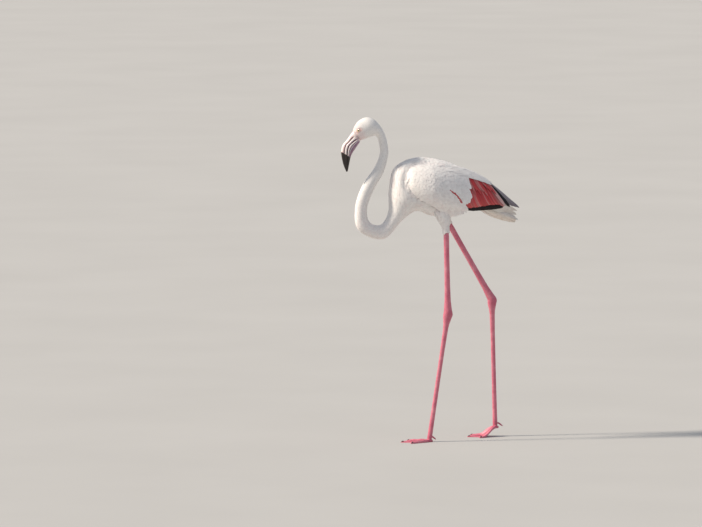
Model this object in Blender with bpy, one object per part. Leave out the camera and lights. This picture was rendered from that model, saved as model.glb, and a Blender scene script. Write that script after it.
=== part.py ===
"""Greater flamingo, life size, wading forward with its neck in an S.

The bird faces -X with its left side towards -Y. The origin is on the floor,
under the middle of the bird. Units are metres.

Head, neck and trunk are one continuous form. It is drawn by STATIONS, each a
point on the bird's back line, the point across from it on its throat, breast
or belly, and half the bird's breadth there. The form is lofted smoothly
through them and parted into head, neck lengths and trunk by thin gaps.
"""
import math

import bmesh
import bpy
from mathutils import Matrix, Vector

GAP = 0.0003                  # clearance between pieces that touch
PARTING_GAP = 0.0008          # along the middle of the bends where the neck is parted
SIDES = {"left": -1.0, "right": 1.0}

# Back point (x, z), front or belly point (x, z), half breadth, from bill to rump.
STATIONS = (
    ((-0.2357, 0.9132), (-0.2125, 0.8870), 0.0120),   # bill base
    ((-0.2296, 0.9284), (-0.2046, 0.8898), 0.0165),   # forehead
    ((-0.2174, 0.9444), (-0.1924, 0.8933), 0.0205),   # brow, at the eye
    ((-0.1940, 0.9545), (-0.1818, 0.8975), 0.0235),   # crown
    ((-0.1711, 0.9469), (-0.1699, 0.9000), 0.0220),   # back of the crown
    ((-0.1510, 0.9258), (-0.1630, 0.8975), 0.0165),   # nape
    ((-0.1392, 0.9040), (-0.1590, 0.8900), 0.0128),   # throat
    ((-0.1309, 0.8757), (-0.1547, 0.8727), 0.0112),
    ((-0.1285, 0.8443), (-0.1535, 0.8449), 0.0115),
    ((-0.1419, 0.7945), (-0.1699, 0.8054), 0.0132),
    ((-0.1711, 0.7435), (-0.2064, 0.7546), 0.0158),   # middle of the neck
    ((-0.1921, 0.6893), (-0.2278, 0.6901), 0.0162),
    ((-0.1851, 0.6478), (-0.2180, 0.6244), 0.0170),
    ((-0.1504, 0.6382), (-0.1440, 0.5960), 0.0185),   # bottom of the loop
    ((-0.1267, 0.6748), (-0.0840, 0.6520), 0.0265),   # neck base
    ((-0.1242, 0.7409), (-0.0438, 0.6765), 0.0480),   # breast
    ((-0.1070, 0.8055), (-0.0061, 0.6644), 0.0640),   # shoulders
    ((-0.0370, 0.8340), (0.0350, 0.6570), 0.0680),    # highest point of the back
    ((0.0570, 0.8180), (0.0800, 0.6610), 0.0610),     # loins
    ((0.1330, 0.7700), (0.1200, 0.6790), 0.0440),     # rump
    ((0.1850, 0.7200), (0.1660, 0.6720), 0.0230),     # root of the tail
)
# Where the form is parted, as station numbers (a fraction lies between two).
PARTING = (
    ("head", 0.0, 6.0, 18, 14),
    ("neck_upper", 6.0, 9.4, 14, 11),
    ("neck_middle", 9.4, 12.2, 14, 10),
    ("neck_lower", 12.2, 14.6, 16, 13),
    ("trunk", 14.6, 20.0, 26, 18),
)

# Bill: culmen, mouth line and keel in side view, base to tip, and half breadth.
CULMEN = ((-0.2362, 0.9128), (-0.2439, 0.9019), (-0.2552, 0.8871), (-0.2655, 0.8750),
          (-0.2698, 0.8594), (-0.2695, 0.8440), (-0.2640, 0.8180), (-0.2548, 0.7960))
MOUTH = ((-0.2216, 0.8934), (-0.2290, 0.8880), (-0.2390, 0.8812), (-0.2482, 0.8722),
         (-0.2522, 0.8600), (-0.2530, 0.8450), (-0.2534, 0.8200), (-0.2532, 0.7962))
KEEL = ((-0.2125, 0.8868), (-0.2160, 0.8795), (-0.2225, 0.8710), (-0.2300, 0.8600),
        (-0.2375, 0.8490), (-0.2425, 0.8370), (-0.2470, 0.8150), (-0.2506, 0.7972))
BILL_BREADTH = (0.0118, 0.0122, 0.0125, 0.0125, 0.0115, 0.0095, 0.0065, 0.0022)

EYE_PLACE = (-0.2205, 0.9165)
EYE_RADIUS = 0.0062
EYE_OUT = 0.0158              # of the eye's middle from the bird's midline

# Folded wing sections: x, y and z of the upper edge, y and z of the lower edge,
# crown of the section, and its half thickness outward and inward.
WING = (
    (-0.0780, 0.052, 0.786, 0.058, 0.756, 0.004, 0.004, 0.012),
    (-0.0700, 0.048, 0.801, 0.060, 0.738, 0.010, 0.008, 0.022),
    (-0.0450, 0.043, 0.811, 0.064, 0.716, 0.015, 0.010, 0.030),
    (0.0000, 0.036, 0.818, 0.066, 0.696, 0.017, 0.010, 0.034),
    (0.0500, 0.026, 0.822, 0.066, 0.683, 0.017, 0.009, 0.034),
    (0.1000, 0.018, 0.813, 0.062, 0.679, 0.014, 0.008, 0.026),
    (0.1500, 0.013, 0.792, 0.054, 0.679, 0.011, 0.007, 0.014),
    (0.2000, 0.011, 0.755, 0.042, 0.681, 0.007, 0.005, 0.007),
    (0.2420, 0.012, 0.713, 0.031, 0.683, 0.003, 0.003, 0.003),
    (0.2660, 0.015, 0.690, 0.022, 0.684, 0.000, 0.0015, 0.0015),
)
# Lower and rear border of the wing coverts in side view: the flight feathers
# show below it and behind it.
COVERT_BORDER = ((0.0840, 0.660), (0.0930, 0.690), (0.2160, 0.688), (0.1610, 0.771),
                 (0.1250, 0.860))
COVERT_FRONT = ((-0.1500, 0.860), (-0.1500, 0.660))
# Outline of the coral coverts in side view, past the border at the bottom and rear.
CORAL = ((0.0915, 0.680), (0.2300, 0.680), (0.1680, 0.782), (0.1360, 0.763),
         (0.1050, 0.768), (0.0900, 0.784), (0.1130, 0.730))
BLOCK_REACH = 0.12            # of the parting blocks to each side of the bird

# Tail sections: x, z of the middle, half breadth, half depth.
TAIL = (
    (0.1450, 0.692, 0.020, 0.018),
    (0.1800, 0.676, 0.030, 0.019),
    (0.2150, 0.662, 0.036, 0.017),
    (0.2450, 0.651, 0.036, 0.013),
    (0.2660, 0.643, 0.030, 0.008),
)

# Legs, hip to toe joint. The left foot is flat on the floor and the right one
# is on its toes, so their toe joints lie at unlike heights.
FLAT_JOINT_HEIGHT = 0.0125
LEGS = {
    "left": {
        "hip": (0.0240, -0.036, 0.7000),
        "feather_end": (0.0362, -0.0440, 0.6220),
        "ankle": (0.0415, -0.0450, 0.3790),
        "toe_joint": (-0.0150, -0.0450, FLAT_JOINT_HEIGHT),
    },
    "right": {
        "hip": (0.0260, 0.036, 0.7000),
        "feather_end": (0.0660, 0.0440, 0.6400),
        "ankle": (0.2015, 0.0450, 0.4075),
        "toe_joint": (0.2124, 0.0450, 0.0370),
    },
}
# Share of the length, half thickness fore and aft, half thickness across.
THIGH = ((0.0, 0.0320, 0.0240), (0.35, 0.0280, 0.0220), (0.62, 0.0190, 0.0180),
         (0.85, 0.0120, 0.0115), (1.0, 0.0104, 0.0100))
SHANK = ((0.0, 0.0086, 0.0066), (0.25, 0.0080, 0.0062), (0.60, 0.0082, 0.0062),
         (0.85, 0.0094, 0.0072), (0.94, 0.0116, 0.0092), (0.99, 0.0124, 0.0098),
         (1.03, 0.0090, 0.0070))
TARSUS = ((-0.025, 0.0060, 0.0050), (-0.010, 0.0118, 0.0092), (0.015, 0.0140, 0.0102),
          (0.045, 0.0136, 0.0094), (0.08, 0.0100, 0.0074), (0.12, 0.0078, 0.0060),
          (0.30, 0.0066, 0.0054), (0.70, 0.0066, 0.0054),
          (0.93, 0.0070, 0.0062), (0.97, 0.0078, 0.0072), (1.0, 0.0062, 0.0062))

SHANK_BEHIND = 0.0025         # of the shank's end behind the middle of the ankle

# Foot: angle of each front toe from straight ahead, inwards positive, and length.
TOES = ((0.50, 0.066), (0.02, 0.086), (-0.46, 0.074))
TOE_SPACING = 0.0062          # between toe roots, across the foot
TOE_HALF_WIDTH = 0.0040
TOE_HEIGHT = 0.0088
TARSUS_END = 0.0045           # of the tarsus over the sole, before the foot cuts it
WEB_THICKNESS = 0.0016
WEB_SCALLOP = 0.20            # how far the web's edge is hollowed between toes
PAD_REACH = 0.0100            # of the foot behind the toe joint
BEND_LENGTH = 0.045           # of a raised foot, from the toe joint down to the floor
HIND_TOE_LENGTH = 0.019
HIND_TOE_ROOT = (0.0075, 0.0, 0.0040)    # from the toe joint

COLOURS = {
    "plumage": ((0.80, 0.74, 0.72), 0.85),
    "coral": ((0.62, 0.10, 0.09), 0.80),
    "flight": ((0.015, 0.012, 0.014), 0.60),
    "tail": ((0.70, 0.62, 0.60), 0.85),
    "bill_pink": ((0.72, 0.42, 0.42), 0.45),
    "bill_mauve": ((0.40, 0.24, 0.27), 0.45),
    "leg": ((0.58, 0.16, 0.22), 0.50),
    "eye": ((0.75, 0.68, 0.35), 0.10),
}


def smooth(stations, t):
    """Catmull-Rom value at t, where whole numbers are the stations themselves."""
    last = len(stations) - 1
    i = min(int(t), last - 1)
    f = t - i
    p0 = Vector(stations[max(i - 1, 0)])
    p1 = Vector(stations[i])
    p2 = Vector(stations[i + 1])
    p3 = Vector(stations[min(i + 2, last)])
    return 0.5 * (2 * p1 + (p2 - p0) * f + (2 * p0 - 5 * p1 + 4 * p2 - p3) * f ** 2
                  + (3 * p1 - p0 - 3 * p2 + p3) * f ** 3)


def blend(rows, t):
    """Smooth value of each column of a table of rows."""
    return [smooth([(row[c], 0.0) for row in rows], t)[0] for c in range(len(rows[0]))]


def spread(first, last, count):
    """Count evenly spaced values from first to last."""
    return [first + (last - first) * k / (count - 1) for k in range(count)]


def oval(middle, up, across, count):
    """A ring of points on the ellipse with half axes up and across."""
    turn = 2 * math.pi / count
    return [middle + up * math.cos(turn * (k + 0.5)) + across * math.sin(turn * (k + 0.5))
            for k in range(count)]


def new_object(name, mesh, collection, material=None):
    """Put a mesh in the scene under its own name."""
    thing = bpy.data.objects.new(name, mesh)
    collection.objects.link(thing)
    if material:
        mesh.materials.append(material)
    return thing


def loft(name, rings):
    """A closed mesh through rings of equal point counts, capped at both ends."""
    bm = bmesh.new()
    rows = [[bm.verts.new(point) for point in ring] for ring in rings]
    count = len(rows[0])
    for low, high in zip(rows, rows[1:]):
        for k in range(count):
            n = (k + 1) % count
            bm.faces.new((low[k], low[n], high[n], high[k]))
    bm.faces.new(rows[0])
    bm.faces.new(rows[-1])
    bmesh.ops.recalc_face_normals(bm, faces=bm.faces)
    bmesh.ops.triangulate(bm, faces=bm.faces)
    mesh = bpy.data.meshes.new(name)
    bm.to_mesh(mesh)
    bm.free()
    mesh.shade_smooth()
    mesh.set_sharp_from_angle(angle=math.radians(50))
    return mesh


def swollen(mesh, name, amount):
    """A copy of a closed mesh grown outwards by amount, to cut a neighbour with."""
    bm = bmesh.new()
    bm.from_mesh(mesh)
    bm.normal_update()
    moves = [(v, v.normal * v.calc_shell_factor() * amount) for v in bm.verts]
    for v, move in moves:
        v.co += move
    copy = bpy.data.meshes.new(name)
    bm.to_mesh(copy)
    bm.free()
    return copy


def cutter(mesh, name, tools, amount=GAP):
    """A hidden object that cuts its neighbours, grown by the gap between them."""
    tool = new_object(name, swollen(mesh, name, amount), tools)
    tool.hide_render = True
    tool.display_type = "WIRE"
    return tool


def cut(thing, tool, operation="DIFFERENCE"):
    """Cut a thing with a tool by an exact Boolean."""
    modifier = thing.modifiers.new(tool.name, "BOOLEAN")
    modifier.operation = operation
    modifier.solver = "EXACT"
    modifier.object = tool


def body_section(t):
    """Middle point, half height vector and half breadth of the bird at station t."""
    back = smooth([station[0] for station in STATIONS], t)
    front = smooth([station[1] for station in STATIONS], t)
    breadth = smooth([(station[2], 0.0) for station in STATIONS], t)[0]
    middle, up = (back + front) / 2, (back - front) / 2
    return Vector((middle.x, 0, middle.y)), Vector((up.x, 0, up.y)), breadth


def body_ring(t, count):
    """The bird's cross-section at station t, as a ring."""
    middle, up, breadth = body_section(t)
    return oval(middle, up, Vector((0, breadth, 0)), count)


def parting_half(t):
    """Half the parting gap at station t, in stations."""
    step = 0.01
    length = (body_section(t + step)[0] - body_section(t - step)[0]).length
    return PARTING_GAP / 2 * 2 * step / length


def body_lengths():
    """Head, neck lengths and trunk, each a loft between two partings."""
    meshes = {}
    for name, first, last, sides, rings in PARTING:
        start = first + parting_half(first) if first > 0 else first
        end = last - parting_half(last) if name != "trunk" else last
        meshes[name] = loft(name, [body_ring(t, sides) for t in spread(start, end, rings)])
    return meshes


def bill_mesh(name, upper_line, lower_line, fullness):
    """One half of the bill, lofted between two lines of its side view."""
    rings = []
    for t in spread(0, len(upper_line) - 1, 13):
        top = smooth(upper_line, t)
        low = smooth(lower_line, t)
        breadth = smooth([(b, 0.0) for b in BILL_BREADTH], t)[0] * fullness
        middle = (top + low) / 2
        up = (top - low) / 2
        up -= up.normalized() * GAP / 2
        rings.append(oval(Vector((middle.x, 0, middle.y)), Vector((up.x, 0, up.y)),
                          Vector((0, breadth, 0)), 12))
    return loft(name, rings)


def eyeball(name, side):
    """An eye: a ball sunk in the side of the head."""
    bm = bmesh.new()
    bmesh.ops.create_uvsphere(bm, u_segments=12, v_segments=6, radius=EYE_RADIUS)
    bmesh.ops.rotate(bm, verts=bm.verts, matrix=Matrix.Rotation(math.pi / 2, 3, "X"))
    bmesh.ops.translate(bm, verts=bm.verts,
                        vec=(EYE_PLACE[0], side * EYE_OUT, EYE_PLACE[1]))
    mesh = bpy.data.meshes.new(name)
    bm.to_mesh(mesh)
    bm.free()
    mesh.shade_smooth()
    return mesh


def wing_ring(row, side, count):
    """One section of a folded wing, a crowned lens between its two edges."""
    x, y_up, z_up, y_low, z_low, crown, outward, inward = row
    upper = Vector((x, y_up, z_up))
    lower = Vector((x, y_low, z_low))
    middle = (upper + lower) / 2
    half = (upper - lower) / 2
    out = Vector((0, half.z, -half.y)).normalized()
    ring = []
    for k in range(count):
        turn = 2 * math.pi * (k + 0.5) / count
        along = math.cos(turn)
        thick = math.sin(turn)
        depth = crown * (1 - along ** 2) + thick * (outward if thick > 0 else inward)
        point = middle + half * along + out * depth
        ring.append(Vector((point.x, side * point.y, point.z)))
    return ring


def wing_mesh(name, side):
    """The whole folded wing, from the shoulder to the tip of the flight feathers."""
    return loft(name, [wing_ring(blend(WING, t), side, 18)
                       for t in spread(0, len(WING) - 1, 19)])


def block(name, outline):
    """A block across both wings with an outline in side view, to part them with."""
    return loft(name, [[Vector((x, y, z)) for x, z in outline]
                       for y in (-BLOCK_REACH, BLOCK_REACH)])


def tail_mesh():
    """The tail and its coverts, a flat wedge behind the rump."""
    rings = []
    for t in spread(0, len(TAIL) - 1, 9):
        x, z, breadth, depth = blend(TAIL, t)
        rings.append(oval(Vector((x, 0, z)), Vector((0.3 * depth, 0, depth)),
                          Vector((0, breadth, 0)), 16))
    return loft("tail", rings)


def limb(name, start, end, sections, sides):
    """A straight limb bone with its skin, from sections along its length."""
    start, end = Vector(start), Vector(end)
    axis = end - start
    fore = axis.cross(Vector((0, 1, 0))).normalized()
    across = fore.cross(axis).normalized()
    rings = []
    for place, fore_half, side_half in sections:
        rings.append(oval(start + axis * place, fore * fore_half, across * side_half,
                          sides))
    return loft(name, rings)


def thigh_mesh(name, leg):
    """The feathered upper leg, a cone that comes out of the belly."""
    rows = [blend(THIGH, t) for t in spread(0, len(THIGH) - 1, 9)]
    return limb(name, leg["hip"], leg["feather_end"], rows, 14)


def toe_column(toe, v, sideways):
    """A point of a toe's outline, v from its root to its claw, in the foot's plane."""
    index = TOES.index(toe)
    angle, length = toe
    swell = min(1.0, 0.62 + 2.2 * v)
    narrow = 1.0 - 0.30 * v - 0.50 * max(0.0, v - 0.86) / 0.14
    root = Vector((0.0, (1 - index) * TOE_SPACING))
    ahead = Vector((math.cos(angle), math.sin(angle)))
    across = Vector((-ahead.y, ahead.x))
    return root + ahead * length * v + across * sideways * TOE_HALF_WIDTH * swell * narrow


def foot_columns(v):
    """Points and heights across the foot at v, from the inner toe to the outer one."""
    crest = TOE_HEIGHT * (1.0 - 0.45 * v - 0.30 * max(0.0, v - 0.86) / 0.14)
    edge = max(WEB_THICKNESS, 0.42 * crest)
    columns = []
    for index, toe in enumerate(TOES):
        if index:
            before = toe_column(TOES[index - 1], v, -1)
            after = toe_column(toe, v, 1)
            for m in (1 / 3, 2 / 3):
                drawn_in = 1 - WEB_SCALLOP * math.sin(math.pi * m) * v ** 2
                columns.append((before.lerp(after, m) * drawn_in, WEB_THICKNESS))
        columns.append((toe_column(toe, v, 1), edge))
        columns.append((toe_column(toe, v, 0), crest))
        columns.append((toe_column(toe, v, -1), edge))
    return columns


def foot_rows():
    """Every row of the foot from its heel pad to its claws."""
    rows = []
    for back, shrink, height in ((1.0, 0.60, 0.0050), (0.6, 0.92, 0.0075)):
        rows.append([(Vector((-PAD_REACH * back, point.y * shrink)), height)
                     for point, _ in foot_columns(0.0)])
    for v in (0.0, 0.12, 0.26, 0.42, 0.58, 0.74, 0.88, 1.0):
        rows.append(foot_columns(v))
    return rows


def foot_mesh(name, side, joint):
    """A webbed foot. Its toes are flat on the floor, or only their outer part is."""
    lift = joint.z - FLAT_JOINT_HEIGHT
    bm = bmesh.new()
    top, sole = [], []
    for row in foot_rows():
        top_row, sole_row = [], []
        for point, height in row:
            share = min(1.0, max(0.0, point.x / BEND_LENGTH))
            rise = lift * (1 - share * share * (3 - 2 * share))
            x = joint.x - point.x
            y = joint.y - side * point.y
            top_row.append(bm.verts.new((x, y, rise + height)))
            sole_row.append(bm.verts.new((x, y, rise)))
        top.append(top_row)
        sole.append(sole_row)
    for sheet in (top, sole):
        for low, high in zip(sheet, sheet[1:]):
            for k in range(len(low) - 1):
                bm.faces.new((low[k], low[k + 1], high[k + 1], high[k]))
    rim_top = [r[0] for r in top] + top[-1][1:] + [r[-1] for r in reversed(top[:-1])]
    rim_sole = [r[0] for r in sole] + sole[-1][1:] + [r[-1] for r in reversed(sole[:-1])]
    rim_top += list(reversed(top[0][1:-1]))
    rim_sole += list(reversed(sole[0][1:-1]))
    for k, vertex in enumerate(rim_top):
        n = (k + 1) % len(rim_top)
        bm.faces.new((vertex, rim_top[n], rim_sole[n], rim_sole[k]))
    bmesh.ops.recalc_face_normals(bm, faces=bm.faces)
    bmesh.ops.triangulate(bm, faces=bm.faces)
    mesh = bpy.data.meshes.new(name)
    bm.to_mesh(mesh)
    bm.free()
    return mesh


def hind_toe_mesh(name, side, joint):
    """The small hind toe, which hangs from the back of the tarsus."""
    start = joint + Vector(HIND_TOE_ROOT)
    end = start + Vector((0.75, -side * 0.25, -0.55)).normalized() * HIND_TOE_LENGTH
    sections = ((0.0, 0.0034, 0.0030), (0.4, 0.0036, 0.0032), (0.8, 0.0026, 0.0022),
                (1.0, 0.0012, 0.0010))
    return limb(name, start, end, sections, 8)


def make_material(name):
    """A plain Principled material in one of the bird's colours."""
    colour, roughness = COLOURS[name]
    material = bpy.data.materials.new(name)
    material.use_nodes = True
    shader = material.node_tree.nodes["Principled BSDF"]
    shader.inputs["Base Color"].default_value = (*colour, 1.0)
    shader.inputs["Roughness"].default_value = roughness
    shader.inputs["Metallic"].default_value = 0.0
    return material


def build_head_and_trunk(bird, tools, materials):
    """Head with its bill and eyes, the neck lengths, the trunk and the tail."""
    meshes = body_lengths()
    things = {name: new_object(name, mesh, bird, materials["plumage"])
              for name, mesh in meshes.items()}
    for side_name, side in SIDES.items():
        eye = eyeball(side_name + "_eye", side)
        cut(things["head"], cutter(eye, side_name + "_eye_socket", tools))
        new_object(side_name + "_eye", eye, bird, materials["eye"])
    head_tool = cutter(meshes["head"], "head_space", tools)
    for name, lines, fullness, colour in (
            ("bill_upper", (CULMEN, MOUTH), 0.92, "bill_pink"),
            ("bill_lower", (MOUTH, KEEL), 1.0, "bill_mauve")):
        bill = new_object(name, bill_mesh(name, *lines, fullness), bird, materials[colour])
        cut(bill, head_tool)
    tail = new_object("tail", tail_mesh(), bird, materials["tail"])
    trunk_tool = cutter(meshes["trunk"], "trunk_space", tools)
    cut(tail, trunk_tool)
    return trunk_tool


def build_wings(bird, tools, materials, trunk_tool):
    """Each folded wing: white forewing, coral coverts, and flight feathers past them."""
    coverts = block("covert_block", COVERT_BORDER + COVERT_FRONT)
    coral = block("coral_block", CORAL)
    in_coverts = cutter(coverts, "in_coverts", tools, 0.0)
    off_coverts = cutter(coverts, "off_coverts", tools)
    in_coral = cutter(coral, "in_coral", tools, 0.0)
    off_coral = cutter(coral, "off_coral", tools)
    for side_name, side in SIDES.items():
        for part_name, colour, parting in (
                ("_wing", "plumage", ((in_coverts, "INTERSECT"), (off_coral, "DIFFERENCE"))),
                ("_coral_coverts", "coral", ((in_coverts, "INTERSECT"),
                                             (in_coral, "INTERSECT"))),
                ("_flight_feathers", "flight", ((off_coverts, "DIFFERENCE"),))):
            name = side_name + part_name
            piece = new_object(name, wing_mesh(name, side), bird, materials[colour])
            for tool, operation in parting:
                cut(piece, tool, operation)
            cut(piece, trunk_tool)
    return {side_name: cutter(wing_mesh(side_name + "_wing_space", side),
                              side_name + "_wing_space", tools)
            for side_name, side in SIDES.items()}


def build_legs(bird, tools, materials, trunk_tool, wing_tools):
    """Each leg: feathered thigh, bare shank, tarsus with its ankle, and foot."""
    for side_name, side in SIDES.items():
        leg = LEGS[side_name]
        joint = Vector(leg["toe_joint"])
        thigh = new_object(side_name + "_thigh", thigh_mesh(side_name + "_thigh", leg),
                           bird, materials["plumage"])
        cut(thigh, trunk_tool)
        cut(thigh, wing_tools[side_name])
        thigh_tool = cutter(thigh.data, side_name + "_thigh_space", tools)
        shank_end = Vector(leg["ankle"]) + Vector((SHANK_BEHIND, 0, 0))
        shank = limb(side_name + "_shank", leg["feather_end"], shank_end, SHANK, 10)
        tarsus_end = joint + Vector((0.0, 0.0, TARSUS_END - FLAT_JOINT_HEIGHT))
        tarsus = limb(side_name + "_tarsus", leg["ankle"], tarsus_end, TARSUS, 10)
        foot = foot_mesh(side_name + "_foot", side, joint)
        hind = hind_toe_mesh(side_name + "_hind_toe", side, joint)
        pieces = {mesh.name: new_object(mesh.name, mesh, bird, materials["leg"])
                  for mesh in (shank, tarsus, foot, hind)}
        foot_tool = cutter(foot, side_name + "_foot_space", tools)
        tarsus_tool = cutter(tarsus, side_name + "_tarsus_space", tools)
        cut(pieces[side_name + "_shank"], thigh_tool)
        cut(pieces[side_name + "_shank"], tarsus_tool)
        cut(pieces[side_name + "_tarsus"], foot_tool)
        cut(pieces[side_name + "_hind_toe"], foot_tool)
        cut(pieces[side_name + "_hind_toe"], tarsus_tool)


def main():
    """Clear the scene and build the bird."""
    for thing in list(bpy.data.objects):
        bpy.data.objects.remove(thing, do_unlink=True)
    bird = bpy.data.collections.new("flamingo")
    tools = bpy.data.collections.new("flamingo_cutters")
    for collection in (bird, tools):
        bpy.context.scene.collection.children.link(collection)
    materials = {name: make_material(name) for name in COLOURS}
    trunk_tool = build_head_and_trunk(bird, tools, materials)
    wing_tools = build_wings(bird, tools, materials, trunk_tool)
    build_legs(bird, tools, materials, trunk_tool, wing_tools)


main()
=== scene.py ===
"""Greater flamingo, life size, as a still museum model: its skin, feathers and light.

The bird faces -X with its left side towards -Y and stands on the floor at the
origin. Units are metres.

Every feather is a thin closed vane that lies on a ground. A ground is a stretch
of the bird's outside, such as the body, a folded wing, a thigh or the tail. It
turns two coordinates and a depth under the feather tips into a point.
"""

import math

import bmesh
import bpy
import numpy as np
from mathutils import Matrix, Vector
from mathutils.bvhtree import BVHTree


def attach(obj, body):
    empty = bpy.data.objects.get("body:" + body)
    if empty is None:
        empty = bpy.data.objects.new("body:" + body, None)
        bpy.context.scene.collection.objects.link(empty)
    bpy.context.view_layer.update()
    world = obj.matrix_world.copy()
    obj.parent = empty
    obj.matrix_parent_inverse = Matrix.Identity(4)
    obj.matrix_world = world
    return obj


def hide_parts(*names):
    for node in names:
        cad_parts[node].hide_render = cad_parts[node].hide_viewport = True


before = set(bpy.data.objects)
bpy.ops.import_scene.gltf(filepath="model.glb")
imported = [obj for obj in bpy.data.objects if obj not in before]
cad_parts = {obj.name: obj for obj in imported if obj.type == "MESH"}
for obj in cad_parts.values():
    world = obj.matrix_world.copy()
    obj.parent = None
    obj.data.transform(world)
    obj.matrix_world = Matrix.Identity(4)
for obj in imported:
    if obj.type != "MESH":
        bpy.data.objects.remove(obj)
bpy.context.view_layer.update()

SIDES = {"left": -1.0, "right": 1.0}

# ---------------------------------------------------------------- the bird's form

# Back point x, z, front or belly point x, z, and half breadth, from bill to rump.
STATIONS = (
    (-0.2357, 0.9132, -0.2125, 0.8870, 0.0120),   # bill base
    (-0.2296, 0.9284, -0.2046, 0.8898, 0.0165),   # forehead
    (-0.2174, 0.9444, -0.1924, 0.8933, 0.0205),   # brow, at the eye
    (-0.1940, 0.9545, -0.1818, 0.8975, 0.0235),   # crown
    (-0.1711, 0.9469, -0.1699, 0.9000, 0.0220),   # back of the crown
    (-0.1510, 0.9258, -0.1630, 0.8975, 0.0165),   # nape
    (-0.1392, 0.9040, -0.1590, 0.8900, 0.0128),   # throat
    (-0.1309, 0.8757, -0.1547, 0.8727, 0.0112),
    (-0.1285, 0.8443, -0.1535, 0.8449, 0.0115),
    (-0.1419, 0.7945, -0.1699, 0.8054, 0.0132),
    (-0.1711, 0.7435, -0.2064, 0.7546, 0.0158),   # middle of the neck
    (-0.1921, 0.6893, -0.2278, 0.6901, 0.0162),
    (-0.1851, 0.6478, -0.2180, 0.6244, 0.0170),
    (-0.1504, 0.6382, -0.1440, 0.5960, 0.0185),   # bottom of the loop
    (-0.1267, 0.6748, -0.0840, 0.6520, 0.0265),   # neck base
    (-0.1242, 0.7409, -0.0438, 0.6765, 0.0480),   # breast
    (-0.1070, 0.8055, -0.0061, 0.6644, 0.0640),   # shoulders
    (-0.0370, 0.8340, 0.0350, 0.6570, 0.0680),    # highest point of the back
    (0.0570, 0.8180, 0.0800, 0.6610, 0.0610),     # loins
    (0.1330, 0.7700, 0.1200, 0.6790, 0.0440),     # rump
    (0.1850, 0.7200, 0.1660, 0.6720, 0.0230),     # root of the tail
)
# Stations: where the coat's pieces part, where the face's bare skin ends at the
# latest, and from where the groove is drawn and the wing hides the trunk.
HEAD_END, NECK_END, BREAST_END, TRUNK_END = 6.0, 12.6, 16.4, 20.0
FACE_END, GROOVE_START, WING_START = 4.0, 14.0, 15.0

# Station, depth of the skin under the feather tips, feather length, and the
# spacing of the feathers along and across their rows.
COAT = (
    (0.0, 0.0004, 0.0050, 0.0010, 0.0013),
    (1.0, 0.0007, 0.0062, 0.0012, 0.0015),
    (2.0, 0.0012, 0.0075, 0.0014, 0.0017),
    (3.0, 0.0018, 0.0090, 0.0016, 0.0019),
    (4.0, 0.0022, 0.0100, 0.0018, 0.0021),
    (6.0, 0.0026, 0.0120, 0.0022, 0.0024),
    (9.0, 0.0028, 0.0140, 0.0026, 0.0028),
    (12.0, 0.0036, 0.0170, 0.0029, 0.0032),
    (13.0, 0.0042, 0.0200, 0.0033, 0.0036),
    (14.0, 0.0060, 0.0260, 0.0040, 0.0044),
    (15.0, 0.0090, 0.0350, 0.0048, 0.0056),
    (16.0, 0.0110, 0.0400, 0.0054, 0.0064),
    (18.0, 0.0110, 0.0440, 0.0058, 0.0068),
    (19.0, 0.0090, 0.0440, 0.0058, 0.0066),
    (20.0, 0.0050, 0.0400, 0.0056, 0.0062),
)

OVERLAP = 2.3                     # width of a feather, in gaps across its row

# Bill: culmen, mouth line and keel in side view, base to tip, and half breadth.
CULMEN = ((-0.2362, 0.9128), (-0.2439, 0.9019), (-0.2552, 0.8871), (-0.2655, 0.8750),
          (-0.2698, 0.8594), (-0.2695, 0.8440), (-0.2640, 0.8180), (-0.2548, 0.7960))
MOUTH = ((-0.2216, 0.8934), (-0.2290, 0.8880), (-0.2390, 0.8812), (-0.2482, 0.8722),
         (-0.2522, 0.8600), (-0.2530, 0.8450), (-0.2534, 0.8200), (-0.2532, 0.7962))
KEEL = ((-0.2125, 0.8868), (-0.2160, 0.8795), (-0.2225, 0.8710), (-0.2300, 0.8600),
        (-0.2375, 0.8490), (-0.2425, 0.8370), (-0.2470, 0.8150), (-0.2506, 0.7972))
BILL_BREADTH = (0.0118, 0.0122, 0.0125, 0.0125, 0.0115, 0.0095, 0.0065, 0.0022)

BILL_GAP = 0.00035                # from each half to the mouth line
UPPER_SHARE = 0.69                # of the bill's height at its base in the upper half
# Nostril: middle and half length in steps of CULMEN, then in shares of the way down.
NOSTRIL = ((1.75, 0.62), (0.44, 0.055))
NOSTRIL_DEPTH = 0.0011
BLACK_EDGE, BLACK_SLOPE = (-0.270, 0.855), -0.62    # a point of it, and how it falls

EYE_PLACE = (-0.2205, 0.9165)     # x, z
EYE_RADIUS = 0.0062
EYE_STANDS_OUT = 0.0016           # of the ball past the skin round it
EYE_SLANT = (0.87, 0.50)          # x and z of the way from the eye's front to its rear
BARE_RING = 0.0066                # from the eye to the first feathers
FACE_PATCH = 0.0085               # from the eye to where the skin's face colour ends
LORES_WAY = (-0.0095, -0.0150)    # x and z from the eye along the bare skin to the bill

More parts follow.
